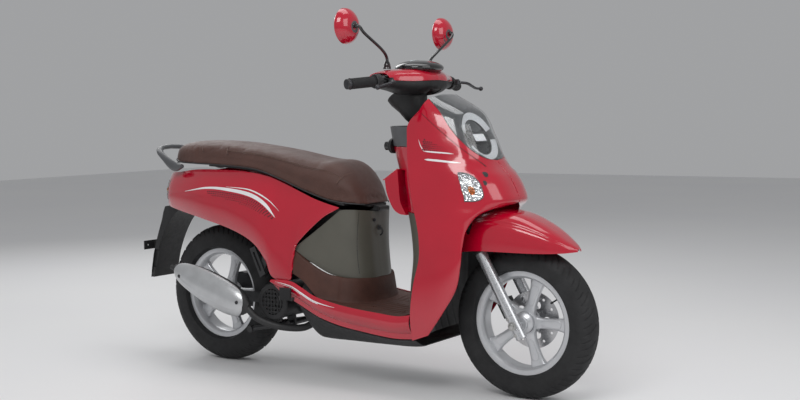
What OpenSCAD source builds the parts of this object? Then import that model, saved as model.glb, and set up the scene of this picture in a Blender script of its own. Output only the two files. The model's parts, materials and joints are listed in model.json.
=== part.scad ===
// Step-through motor scooter, built up from its frame, covers, running gear and controls.
// +X is forward, +Y is the rider's left, +Z is up. The origin is on the ground, midway along the
// length and on the centre plane. Every piece is drawn where it sits on the assembled scooter.

/* [Overall] */
// Length from the number-plate bracket to the front of the front tyre
overall_l = 1864; // [1600:1:2250]
// Width across the mirrors
overall_w = 683; // [580:1:820]
// Distance between the wheel axles
wheelbase = 1251; // [1120:1:1400]
// Half width of the floor, measured to the inner side of the red rails
floor_half_w = 188; // [160:1:226]

/* [Wheels and fork] */
// Front tyre radius
front_tyre_r = 242.4; // [225:0.1:250]
// Front tyre width
front_tyre_w = 100; // [80:1:110]
// Rear tyre radius
rear_tyre_r = 251.4; // [235:0.1:255]
// Rear tyre width
rear_tyre_w = 110; // [90:1:120]
// Radius of the rim where the tyre sits
rim_r = 160; // [150:1:170]
// Steering head angle from vertical
caster = 29; // [25:0.5:31]
// Distance of the axle ahead of the steering axis
fork_offset = 32; // [25:1:40]
// Radius of each fork tube
fork_tube_r = 13.5; // [12:0.5:16]
// Radius of each fork slider
slider_r = 18; // [18:0.5:22]
// Radius of each wheel axle
axle_r = 6; // [5:0.5:8]
// Full compression of the front fork
fork_travel = 70; // [50:1:75]

/* [Panels] */
// Wall of the painted covers
panel_t = 3; // [2:0.5:4]
// Gap left between neighbouring covers
panel_gap = 2; // [1:0.5:3]
// Radial clearance of a pin in its bore
pin_fit = 0.05; // [0.02:0.01:0.1]

/* [Controls] */
// Radius of the handlebar tube
bar_r = 11; // [10:0.5:12]
// Outer radius of a grip
grip_r = 17; // [15:0.5:19]
// Radius of a mirror shell
mirror_r = 57; // [45:1:62]

/* [Fasteners] */
// Radius of the number-plate screw holes
plate_hole_r = 3.25; // [2.5:0.25:4]
// Distance between the number-plate screw holes
plate_hole_pitch = 100; // [80:1:120]

/* [Hidden] */
$fn = 48;

// Wheel positions follow from the length, the wheelbase and the tyre sizes
front_axle_x = overall_l / 2 - front_tyre_r;
rear_axle_x = front_axle_x - wheelbase;
// The shapes below were drawn with the axles at these places; fx() carries a length onto the
// chosen wheelbase by moving the two ends and stretching the step-through between them
drawn_front_x = 689.6;
drawn_rear_x = -561.4;
step_front = 300;
step_rear = -200;
function fx(x) = let(f = front_axle_x - drawn_front_x, r = rear_axle_x - drawn_rear_x)
    x >= step_front ? x + f
    : x <= step_rear ? x + r
    : x + r + (f - r) * (x - step_rear) / (step_front - step_rear);
// Widths of the covers follow the floor's half width
drawn_half_w = 188;
function fy(y) = y * floor_half_w / drawn_half_w;
function at(p) = [fx(p[0]), fy(p[1]), p[2]];

// Steering frame: x ahead of the steering axis, z up along it, origin beside the front axle
steer_o = [front_axle_x - fork_offset * cos(caster), 0, front_tyre_r - fork_offset * sin(caster)];
function steer_pt(p) = steer_o + [p[0] * cos(caster) - p[2] * sin(caster), p[1],
    p[0] * sin(caster) + p[2] * cos(caster)];
fork_half = front_tyre_w / 2 + slider_r + 6;
yoke_z = front_tyre_r + fork_travel + 66;
slider_top_z = yoke_z - fork_travel - 58;
stem_r = 14;
head_tube_z = [yoke_z + 62, yoke_z + 232];
bar_c = steer_pt([52, 0, 868]);
bar_bend_y = 192;
bracket_y = [194, 206];
switch_y = [209, 231];
grip_in_y = 233;
grip_out_y = 322;
bar_dir = [-0.32, 1, -0.09] / norm([-0.32, 1, -0.09]);
function bar_pt(side, y) = [bar_c[0], side * bar_bend_y, bar_c[2]]
    + (y - bar_bend_y) * [bar_dir[0], side * bar_dir[1], bar_dir[2]];

// ---------------------------------------------------------------- curves and surfaces
function mix(a, b, t) = a + (b - a) * t;
function unit(v) = v / max(norm(v), 1e-9);
function span(tab, t, i = 0) = i >= len(tab) - 2 || t <= tab[i + 1][0] ? i : span(tab, t, i + 1);
// Smooth curve through a table of [parameter, value] rows; a value may be a point
function curve(tab, t) = let(
    n = len(tab), i = span(tab, t),
    a = tab[max(i - 1, 0)], b = tab[i], c = tab[i + 1], d = tab[min(i + 2, n - 1)],
    h = c[0] - b[0], u = min(1, max(0, (t - b[0]) / h)),
    m1 = (c[1] - a[1]) / (c[0] - a[0]), m2 = (d[1] - b[1]) / (d[0] - b[0]))
    (2 * u ^ 3 - 3 * u ^ 2 + 1) * b[1] + (u ^ 3 - 2 * u ^ 2 + u) * h * m1
    + (3 * u ^ 2 - 2 * u ^ 3) * c[1] + (u ^ 3 - u ^ 2) * h * m2;
function mirror_y(p) = [p[0], -p[1], p[2]];

// Grid of points f(u, v) over the given parameter ranges
function grid(us, vs, f) = [for (u = us) [for (v = vs) f(u, v)]];
function steps(a, b, n) = [for (i = [0 : n]) mix(a, b, i / n)];
// The grid moved by t along its own normals
function inset(g, t) = let(m = len(g) - 1, n = len(g[0]) - 1)
    [for (i = [0 : m]) [for (j = [0 : n]) g[i][j] - t * unit(cross(
        g[min(i + 1, m)][j] - g[max(i - 1, 0)][j], g[i][min(j + 1, n)] - g[i][max(j - 1, 0)]))]];
// Faces turned so that the solid's volume is positive
function outward(pts, faces) = let(
    v = [for (f = faces) cross(pts[f[0]], pts[f[1]]) * pts[f[2]]] * [for (f = faces) 1])
    v < 0 ? faces : [for (f = faces) [f[0], f[2], f[1]]];

// Sheet between two matching grids; holes are [row from, row to, column from, column to]
module sheet(outer, inner, holes = []) {
    nu = len(outer) - 1;
    nv = len(outer[0]) - 1;
    w = nv + 1;
    m = (nu + 1) * w;
    kept = function (i, j) i >= 0 && i < nu && j >= 0 && j < nv && len([for (h = holes)
        if (i >= h[0] && i < h[1] && j >= h[2] && j < h[3]) 1]) == 0;
    wall = function (p, q) [[q, p, m + p], [q, m + p, m + q]];
    pts = [each [for (r = outer) each r], each [for (r = inner) each r]];
    faces = [for (i = [0 : nu - 1]) for (j = [0 : nv - 1]) if (kept(i, j))
        let(a = i * w + j, b = a + 1, c = a + w + 1, d = a + w) each concat(
            [[a, b, c], [a, c, d], [m + a, m + c, m + b], [m + a, m + d, m + c]],
            kept(i - 1, j) ? [] : wall(a, b), kept(i, j + 1) ? [] : wall(b, c),
            kept(i + 1, j) ? [] : wall(c, d), kept(i, j - 1) ? [] : wall(d, a))];
    polyhedron(pts, outward(pts, faces));
}

// Solid through a list of closed rings with equal numbers of points
module loft(rings) {
    k = len(rings[0]);
    n = len(rings);
    mean = function (r) r * 0 == r * 0 ? [for (a = [0 : 2]) [for (p = r) p[a]] * [for (p = r) 1] / k] : [];
    pts = [each [for (r = rings) each r], mean(rings[0]), mean(rings[n - 1])];
    faces = [each [for (i = [0 : n - 2]) for (j = [0 : k - 1])
            let(a = i * k + j, b = i * k + (j + 1) % k, c = b + k, d = a + k) each [[a, b, c], [a, c, d]]],
        each [for (j = [0 : k - 1]) [n * k, (j + 1) % k, j]],
        each [for (j = [0 : k - 1]) [n * k + 1, (n - 1) * k + j, (n - 1) * k + (j + 1) % k]]];
    polyhedron(pts, outward(pts, faces));
}

// Points resampled on the smooth curve through a short list of points
function smooth(pts, per) = let(tab = [for (i = [0 : len(pts) - 1]) [i, pts[i]]])
    [for (i = [0 : (len(pts) - 1) * per]) curve(tab, i / per)];
// Tube or bar of elliptical section along a path; a is the half size across `side`, b the other
function section_ring(path, i, a, b, side, k) = let(
    n = len(path), t = unit(path[min(i + 1, n - 1)] - path[max(i - 1, 0)]),
    u = unit(cross(side, t)), w = cross(t, u))
    [for (j = [0 : k - 1]) path[i] + a * sin(360 * j / k) * w + b * cos(360 * j / k) * u];
module bar(path, a, b, side = [0, 0, 1], k = 8) {
    loft([for (i = [0 : len(path) - 1]) section_ring(path, i, a, b, side, k)]);
}
// Straight round rod or tube between two points
module rod(p, q, r, bore = 0) {
    d = q - p;
    translate(p) rotate([0, acos(d[2] / norm(d)), atan2(d[1], d[0])]) difference() {
        cylinder(h = norm(d), r = r);
        if (bore > 0) translate([0, 0, -1]) cylinder(h = norm(d) + 2, r = bore);
    }
}
module steered() {
    translate(steer_o) rotate([0, -caster, 0]) children();
}
// Prism with an outline drawn in X and Z, spanning y from y0 to y1
module side_prism(outline, y0, y1) {
    translate([0, y1, 0]) rotate([90, 0, 0]) linear_extrude(y1 - y0) polygon(outline);
}

// ---------------------------------------------------------------- front covers
// Front cover: u climbs from the foot of the leg shield to the handlebar. edge_in is the wheel
// arch and then the centre line, edge_out is the rear rim; the section between is a superellipse
apron_in = [[0, [440, 190, 206]], [.12, [492, 185, 280]], [.25, [534, 172, 357]],
    [.37, [548, 168, 430]], [.47, [553, 162, 490]], [.55, [566, 152, 548]], [.61, [602, 120, 594]],
    [.66, [664, 5, 622]], [.72, [655, 5, 662]], [.78, [630, 5, 705]], [.83, [592, 5, 747]],
    [.88, [558, 5, 825]], [.94, [512, 5, 908]], [1, [407, 5, 969]]];
apron_out = [[0, [385, 199, 186]], [.12, [378, 200, 262]], [.25, [388, 197, 357]],
    [.37, [408, 191, 446]], [.47, [405, 185, 510]], [.55, [393, 178, 560]], [.61, [380, 173, 600]],
    [.66, [369, 169, 640]], [.72, [360, 164, 680]], [.78, [352, 158, 725]], [.83, [345, 152, 768]],
    [.88, [340, 145, 818]], [.94, [338, 134, 872]], [1, [372, 116, 918]]];
apron_square = [[0, 2.3], [.5, 2.5], [.66, 3], [.8, 3], [.9, 2.7], [1, 2.6]];
// v runs from -1 at the right rim through 0 at the centre line to 1 at the left rim
function apron_pt(u, v, gap = 0) = let(
    a = curve(apron_in, u), b = curve(apron_out, u), e = 2 / curve(apron_square, u),
    s = v < 0 ? -1 : 1, c = cos(90 * abs(v)) ^ e, d = sin(90 * abs(v)) ^ e)
    at([mix(b[0], a[0], c), s * mix(a[1], b[1], d), mix(b[2], a[2], c)]);
apron_rows = [0, .06, .12, .185, .25, .31, .37, .42, .47, .51, .55, .61, .66, .69, .72, .75, .78,
    .81, .835, .855, .88, .91, .94, .97, 1];
apron_half = [1, .87, .76, .66, .58, .48, .36, .24, .12, .02];
apron_cols = [each [for (v = apron_half) -v], each [for (i = [len(apron_half) - 1 : -1 : 0]) apron_half[i]]];
lamp_row = 18;
lamp_col = 4;
lamp_edge = 0.58;
arch_row = 12;
winker_rows = [12, 16];
winker_cols = [2, 5];
module front_apron() {
    g = grid(apron_rows, apron_cols, function (u, v) apron_pt(u, v));
    n = len(apron_cols) - 1;
    c = len(apron_half) - 1;
    color("crimson") sheet(g, inset(g, -panel_t), holes = [
        [0, arch_row, c, c + 1],
        [lamp_row, len(apron_rows) - 1, lamp_col, n - lamp_col],
        [winker_rows[0], winker_rows[1], winker_cols[0], winker_cols[1]],
        [winker_rows[0], winker_rows[1], n - winker_cols[1], n - winker_cols[0]]]);
}
// Clear lamp cover, filling the front cover's opening up to the handlebar
module headlight_lens() {
    g = grid(steps(apron_rows[lamp_row] + .006, .995, 9), steps(-lamp_edge + .02, lamp_edge - .02, 14),
        function (u, v) apron_pt(u, v));
    color([.85, .87, .9, .5]) sheet(g, inset(g, -panel_t));
}
lamp_c = [512, 0, 830];
lamp_tilt = 70;
module on_lamp() {
    translate(at(lamp_c)) rotate([0, lamp_tilt, 0]) children();
}
lamp_ring_r = 80;
module headlight_housing() {
    color("dimgray") on_lamp() {
        difference() {
            translate([0, 0, -52]) cylinder(h = 48, r = lamp_ring_r + 10);
            translate([0, 0, -49]) cylinder(h = 50, r = lamp_ring_r + 7);
        }
        translate([0, 0, -30]) difference() {
            cylinder(h = 12, r = lamp_ring_r + 6.5);
            translate([0, 0, -1]) cylinder(h = 14, r = lamp_ring_r - 14);
        }
    }
}
module headlight_leds() {
    color("white") on_lamp() {
        for (a = [12, 192])
            rotate([0, 0, a + 90]) translate([0, 0, -17]) rotate_extrude(angle = 156)
                translate([lamp_ring_r - 12, 0]) square([18, 9]);
        translate([-14, -38, -34]) cube([28, 76, 24]);
    }
}
// D-shaped turn-signal lenses let into the front cover
module front_indicators() {
    r = [apron_rows[winker_rows[0]] + .006, apron_rows[winker_rows[1]] - .006];
    c = [apron_half[winker_cols[0]] - .012, apron_half[winker_cols[1]] + .012];
    color("whitesmoke") for (s = [-1, 1]) {
        g = grid(steps(r[0], r[1], 5), steps(s * c[0], s * c[1], 4), function (u, v) apron_pt(u, v));
        sheet(g, inset(g, -s * 14 * s));
    }
}
// Rider-side cover behind the front cover, with an open-topped glove pocket
shield_mid = [[270, 322], [360, 320], [450, 318], [560, 300], [680, 268], [780, 232], [870, 205], [915, 196]];
function shield_u(z) = let(t = [for (r = apron_out) [r[1][2], r[0]]]) curve(t, z);
module leg_shield() {
    g = grid([270, 310, 357, 400, 446, 480, 510, 560, 600, 640, 680, 725, 768, 818, 862],
        [-1, -.92, -.8, -.6, -.4, -.2, 0, .2, .4, .6, .8, .92, 1], function (z, v) let(
            e = curve(apron_out, shield_u(z)), xm = curve(shield_mid, z))
            at([mix(xm, e[0] - 3, abs(v) ^ 3), v * (e[1] - panel_t - panel_gap), z]));
    // open into the glove pocket
    color("dimgray") sheet(g, inset(g, panel_t), holes = [[8, 11, 2, 4]]);
    color("crimson") glove_pocket();
}
pocket_y = [-146, -62];
module glove_pocket() {
    outer = [[352, 580], [330, 622], [320, 728], [268, 694], [276, 650], [300, 602]];
    pocket = [[349, 584], [327, 623], [316.5, 740], [271.5, 700], [279, 651], [302.5, 604.5]];
    difference() {
        side_prism([for (p = outer) [fx(p[0] - 18), p[1]]], pocket_y[0], pocket_y[1]);
        side_prism([for (p = pocket) [fx(p[0] - 18), p[1]]], pocket_y[0] + panel_t, pocket_y[1] - panel_t);
    }
}
// Black splash guard behind the front wheel
guard_mid = [[186, 418], [215, 410], [250, 401], [300, 395], [360, 394], [430, 397], [500, 402]];
function arch_u(z) = let(t = [for (i = [0 : 6]) [apron_in[i][1][2], apron_in[i][0]]]) curve(t, max(z, 206));
module inner_fender() {
    g = grid([207, 232, 262, 300, 330, 360, 395, 430, 465, 498],
        [-1, -.9, -.75, -.55, -.3, 0, .3, .55, .75, .9, 1], function (z, v) let(
            e = curve(apron_in, arch_u(z)), xm = curve(guard_mid, z))
            at([mix(xm, e[0] - 12, abs(v) ^ 3.5), v * (e[1] - 8), z]));
    color("#222222") sheet(g, inset(g, panel_t));
}

// ---------------------------------------------------------------- floor and middle
// Height of the mat's outer edge and of its raised foot round the centre cover
mat_edge = [[-108, 340], [-60, 322], [-9, 298], [60, 282], [143, 270], [240, 262], [326, 257], [366, 272]];
mat_foot = [[-108, 448], [-60, 415], [15, 374], [60, 362], [91, 358], [160, 350]];
cover_foot = [[0, [135, 0, 366]], [.22, [130, 52, 366]], [.45, [98, 105, 368]], [.65, [30, 138, 380]],
    [.83, [-45, 157, 420]], [1, [-104, 168, 460]]];
cover_head = [[0, [126, 0, 574]], [.22, [122, 50, 580]], [.45, [103, 98, 585]], [.65, [84, 113, 586]],
    [.83, [66, 119, 586]], [1, [50, 122, 584]]];
// How far a floor point lies outside the centre cover: 0 under it, 1 clear of it
function off_cover(x, y) = let(w = x > 135 ? 0 : 172 * (1 - ((x + 108) / 243) ^ 3) ^ .5,
    d = max(x > 60 ? norm([max(x - 60, 0) * 1.4, y]) - 108 : abs(y) - w, abs(y) - w - 20))
    min(1, max(0, d / 22));
function mat_z(x, y) = let(s = off_cover(x, y), k = s * s * (3 - 2 * s))
    mix(curve(mat_foot, min(x, 160)), curve(mat_edge, x) + 4 * (1 - (y / 188) ^ 2), k);
module floor_mat() {
    xs = [-106, -84, -60, -35, -9, 15, 40, 60, 80, 98, 114, 128, 142, 156, 175, 210, 250, 290, 326, 348];
    ys = [-1, -.94, -.87, -.8, -.72, -.64, -.56, -.48, -.36, -.18, 0, .18, .36, .48, .56, .64, .72, .8,
        .87, .94, 1];
    w = 186;
    corner = function (x) x > 300 ? w - 40 * ((x - 300) / 48) ^ 2 : w;
    g = grid(xs, ys, function (x, v) at([x, v * corner(x), mat_z(x, v * corner(x))]));
    // open under the centre cover
    color("saddlebrown") sheet(g, [for (r = g) [for (p = r) p - [0, 0, 2 * panel_t]]], holes = [[0, 8, 5, 15]]);
}
// Side rail: from the mat's edge out over the top and down to the belly
rail_low = [[-202, 330], [-160, 300], [-79, 262], [-1, 228], [75, 208], [151, 197], [298, 183], [383, 187]];
rail_top = [[-202, 344], [-108, 343], [-60, 324], [-9, 300], [60, 284], [143, 272], [240, 264], [326, 259],
    [383, 268]];
rail_xs = [-200, -165, -130, -108, -84, -60, -35, -9, 25, 60, 100, 143, 190, 240, 290, 326, 355, 374];
function rail_pt(x, v) = let(z0 = curve(rail_top, x), z1 = curve(rail_low, x))
    at([x, 188 + 16 * sin(180 * min(1, v * 1.15 + .12)) ^ .8 - 6 * v, mix(z0, z1, v)]);
module side_rail(s) {
    g = grid(rail_xs, [0, .08, .18, .32, .5, .68, .84, 1], function (x, v) let(p = rail_pt(x, v)) [p[0], s * p[1], p[2]]);
    o = [fx(step_o[0]), s * fy(step_o[1]), step_o[2]];
    color("crimson") sheet(g, inset(g, -s * panel_t));
    // ears and pin of the folding footrest
    color("crimson") {
        for (e = [-1, 1]) translate(o + [e * (step_size[0] / 2 + 3) - 2, s > 0 ? -11 : -5, -5]) cube([4, 16, 12]);
        rod(o - [step_size[0] / 2 + 5, 0, 0], o + [step_size[0] / 2 + 5, 0, 0], step_pin_r);
    }
}
module side_rail_right() { side_rail(-1); }
module side_rail_left() { side_rail(1); }
// Black tray under the floor
belly_bottom = [[-95, 196], [-60, 160], [-30, 146], [100, 145], [260, 146], [350, 149], [400, 160], [434, 182]];
module belly_cover() {
    g = grid([-95, -60, -30, 30, 100, 180, 260, 320, 350, 378], [-1, -.93, -.84, -.7, -.35, 0, .35, .7, .84, .93, 1],
        function (x, v) let(b = curve(belly_bottom, x), t = curve(rail_low, x) - 6, k = max(0, (abs(v) - .62) / .38))
            at([x, v * 182, mix(b, t, k * k * (3 - 2 * k))]));
    color("#1c1c1c") sheet(g, inset(g, -panel_t));
}
module centre_cover() {
    g = grid(steps(-1, 1, 24), steps(0, 1, 5), function (s, v) let(
        a = curve(cover_foot, abs(s)), b = curve(cover_head, abs(s)), k = s < 0 ? -1 : 1, p = mix(a, b, v))
        at([p[0] - 6 * sin(180 * v) * (1 - abs(s)), k * p[1] * (1 - .03 * sin(180 * v)), p[2]]));
    color("#57534b") sheet(g, inset(g, -panel_t));
}

// ---------------------------------------------------------------- rear covers
// Side panel: u runs from the tail round to the front tip; top and bottom edges and the bulge
panel_top = [[0, [-806, 1, 694]], [.05, [-796, 36, 695]], [.1, [-768, 66, 696]], [.17, [-720, 90, 699]],
    [.3, [-600, 110, 712]], [.45, [-450, 120, 713]], [.55, [-350, 125, 708]], [.65, [-250, 129, 693]],
    [.72, [-180, 131, 671]], [.8, [-100, 133, 641]], [.86, [-50, 133, 622]], [.92, [0, 131, 607]],
    [.97, [36, 129, 598]], [1, [52, 128, 594]]];
panel_low = [[0, [-822, 1, 580]], [.05, [-814, 40, 578]], [.1, [-790, 72, 574]], [.17, [-735, 104, 566]],
    [.3, [-560, 146, 538]], [.45, [-400, 163, 505]], [.55, [-300, 170, 466]], [.65, [-238, 175, 408]],
    [.72, [-200, 181, 350]], [.8, [-116, 188, 347]], [.86, [-114, 185, 410]], [.92, [-92, 177, 470]],
    [.97, [-6, 152, 556]], [1, [48, 131, 590]]];
panel_bulge = [[0, [-12, 0]], [.05, [-11, 4]], [.1, [-8, 12]], [.17, [-4, 20]], [.3, [0, 28]], [.45, [0, 30]],
    [.55, [0, 28]], [.65, [0, 25]], [.72, [0, 20]], [.8, [0, 12]], [.86, [0, 9]], [.92, [0, 7]], [.97, [0, 4]],
    [1, [0, 0]]];
function panel_pt(u, v) = let(a = curve(panel_top, u), b = curve(panel_low, u), k = curve(panel_bulge, u),
    q = sin(180 * v) ^ .9, p = mix(a, b, v)) at([p[0] + k[0] * q, p[1] + k[1] * q, p[2]]);
panel_us = [0, .03, .06, .1, .135, .17, .21, .255, .3, .35, .4, .45, .5, .55, .6, .65, .685, .72, .745, .77, .8,
    .83, .86, .89, .92, .95, .975, 1];
panel_vs = [0, .1, .2, .35, .5, .65, .8, .9, 1];
tail_cells = [0, 4, 2, 6];
module side_panel(s) {
    g = grid(panel_us, panel_vs, function (u, v) let(p = panel_pt(u, v)) [p[0], s * p[1], p[2]]);
    color("crimson") sheet(g, inset(g, s * panel_t), holes = [tail_cells]);
}
module side_panel_right() { side_panel(-1); }
module side_panel_left() { side_panel(1); }
// Tail lamp, one curved lens let into the two side panels
module tail_light() {
    edge = panel_us[tail_cells[1]] - .006;
    v0 = panel_vs[tail_cells[2]] + .02;
    v1 = panel_vs[tail_cells[3]] - .02;
    us = [for (i = [-6 : 6]) edge * i / 6];
    g = grid(us, steps(v0, v1, 4), function (u, v) let(p = panel_pt(abs(u), v), s = u < 0 ? -1 : 1,
        y = abs(u) < 1e-6 ? 0 : p[1]) [p[0], s * y, p[2]]);
    color("red") sheet(g, inset(g, 6 * panel_t));
}
// Luggage box under the seat; its rim carries the seat hinge
box_half_w = floor_half_w - 90;
seat_pin_r = 4;
seat_hinge = [140, 586];
hinge_half = 26;
module luggage_box() {
    outline = [[-320, 466], [-304, 448], [-92, 396], [-72, 388], [62, 388], [88, 406], [96, 576], [-320, 643]];
    cavity = [[-316, 470], [-302, 453], [-90, 400], [-70, 392], [60, 392], [84, 410], [92, 600], [-316, 680]];
    color("#2a2a2a") difference() {
        side_prism([for (p = outline) [fx(p[0]), p[1]]], -box_half_w, box_half_w);
        side_prism([for (p = cavity) [fx(p[0]), p[1]]], -box_half_w + panel_t, box_half_w - panel_t);
    }
    // hinge lugs and pin reaching out over the centre cover
    color("#2a2a2a") {
        for (y = [-hinge_half - 6, hinge_half])
            side_prism([[fx(94), 560], [fx(94), 575], [fx(seat_hinge[0]) - 5, seat_hinge[1] + 6],
                [fx(seat_hinge[0]) + 5, seat_hinge[1] + 6], [fx(seat_hinge[0]) + 6, seat_hinge[1] - 7],
                [fx(seat_hinge[0]) - 26, seat_hinge[1] - 7]], y, y + 6);
        rod([fx(seat_hinge[0]), -hinge_half - 9, seat_hinge[1]], [fx(seat_hinge[0]), hinge_half + 9, seat_hinge[1]],
            seat_pin_r);
    }
}
// Fuel tank behind the luggage box, with its filler neck
tank_x = [-690, -400];
tank_z = [612, 676];
tank_half_w = floor_half_w - 122;
cap_c = [-470, 0];
neck_r = 24;
module fuel_tank() {
    color("gray") difference() {
        union() {
            translate([fx(tank_x[0]), -tank_half_w, tank_z[0]])
                cube([fx(tank_x[1]) - fx(tank_x[0]), 2 * tank_half_w, tank_z[1] - tank_z[0]]);
            translate([fx(cap_c[0]), 0, tank_z[1] - 1]) cylinder(h = 15, r = neck_r);
        }
        translate([fx(tank_x[0]) + 3, 3 - tank_half_w, tank_z[0] + 3])
            cube([fx(tank_x[1]) - fx(tank_x[0]) - 6, 2 * tank_half_w - 6, tank_z[1] - tank_z[0] - 6]);
        translate([fx(cap_c[0]), 0, tank_z[1] - 5]) cylinder(h = 30, r = neck_r - 4);
    }
}
module fuel_cap() {
    color("black") translate([fx(cap_c[0]), 0, tank_z[1] + 1]) {
        difference() {
            cylinder(h = 19, r = neck_r + 5);
            translate([0, 0, -1]) cylinder(h = 14.5, r = neck_r + 0.3);
        }
        translate([-4, -neck_r, 18]) cube([8, 2 * neck_r, 6]);
    }
}
// Grab rail: a flat bar in a U round the back of the seat
rail_path = [[-664, 128, 722], [-700, 124, 730], [-750, 114, 748], [-803, 96, 771], [-835, 58, 787],
    [-842, 0, 792]];
module grab_rail() {
    half = smooth([for (p = rail_path) at(p)], 3);
    n = len(half) - 1;
    path = [each [for (i = [0 : n]) mirror_y(half[i])], each [for (i = [n - 1 : -1 : 0]) half[i]]];
    color("#505254") bar(path, 13, 8, side = [0, 0, 1], k = 12);
}
// Rear mudguard: wheel arch, tail underside and mudflap, with the number-plate bracket
guard_half = 64;
arch_line = [[-330, 452], [-352, 508], [-402, 560], [-470, 590], [-561, 601], [-650, 594], [-730, 566],
    [-790, 520], [-835, 455], [-868, 380], [-888, 292]];
back_line = [[-904, 292], [-888, 380], [-862, 456], [-838, 516], [-820, 566], [-788, 568], [-738, 588],
    [-650, 599]];
plate_x = -overall_l / 2;
plate_z = [396, 430];
module rear_mudguard() {
    color("#242424") {
        difference() {
            side_prism([each [for (p = smooth(arch_line, 3)) [fx(p[0]), p[1]]],
                each [for (p = smooth(back_line, 2)) [fx(p[0]), p[1]]],
                each [for (i = [4 : -1 : 0]) [fx(arch_line[i][0]) + (i == 0 ? 4 : 2), arch_line[i][1] + 4]]],
                -guard_half, guard_half);
            side_prism([[fx(-850), 400], [fx(-876), 330], [fx(-897), 330], [fx(-880), 400]], -guard_half - 1, -guard_half + 8);
        }
        difference() {
            union() {
                translate([plate_x, -70, plate_z[0]]) cube([4, 140, plate_z[1] - plate_z[0]]);
                translate([plate_x + 1, -18, plate_z[0] + 4]) cube([fx(-872) - plate_x, 36, 24]);
            }
            for (s = [-1, 1])
                translate([plate_x - 1, s * plate_hole_pitch / 2, (plate_z[0] + plate_z[1]) / 2]) rotate([0, 90, 0])
                    cylinder(h = 20, r = plate_hole_r);
        }
    }
}

// ---------------------------------------------------------------- seat
seat_low = [[-744, 742], [-690, 730], [-600, 726], [-528, 724], [-420, 719], [-350, 714], [-283, 704], [-220, 686],
    [-160, 666], [-100, 644], [-42, 624], [0, 611], [45, 602], [131, 592]];
seat_high = [[-744, 768], [-738, 788], [-700, 804], [-618, 811], [-473, 805], [-378, 794], [-260, 778], [-128, 757],
    [-60, 750], [-2, 746], [40, 725], [78, 684], [110, 630], [131, 596]];
seat_half = [[-744, 62], [-725, 92], [-690, 112], [-600, 128], [-473, 134], [-300, 137], [-160, 139], [-60, 136],
    [20, 124], [70, 108], [105, 88], [131, 50]];
seat_xs = [-744, -738, -725, -700, -660, -600, -540, -473, -400, -330, -260, -200, -128, -60, -2, 40, 62, 78, 95, 110,
    122, 131];
pan_t = 8;
module seat_cushion() {
    n = 20;
    color("#66463c") loft([for (x = seat_xs) let(z0 = curve(seat_low, x) + pan_t + .4,
        z1 = max(curve(seat_high, x), z0 + 3), w = curve(seat_half, x), e = .62)
        [for (j = [0 : n - 1]) let(a = 180 * j / (n - 1), c = cos(a), s = sin(a))
            [fx(x), fy(w * sign(c) * abs(c) ^ e), z0 + (z1 - z0) * abs(s) ^ e]]]);
}
// Black seat base with the hinge barrel at its nose
module seat_pan() {
    h = [fx(seat_hinge[0]), seat_hinge[1]];
    strip = function (i0, i1) [each [for (i = [i0 : i1]) [fx(seat_xs[i]), curve(seat_low, seat_xs[i])]],
        each [for (i = [i1 : -1 : i0]) [fx(seat_xs[i]), curve(seat_low, seat_xs[i]) + pan_t]]];
    color("#1e1e1e") difference() {
        union() {
            side_prism(strip(1, 20), -50, 50);
            side_prism(strip(6, 16), fy(-116), fy(116));
            side_prism([[fx(112), 594], [fx(112), 600], h + [0, 8], h + [7, 0], h - [0, 7]], -hinge_half + 1, hinge_half - 1);
            rod([h[0], -hinge_half + 1, h[1]], [h[0], hinge_half - 1, h[1]], 8);
        }
        rod([h[0], -hinge_half, h[1]], [h[0], hinge_half, h[1]], seat_pin_r + pin_fit);
    }
}

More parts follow.
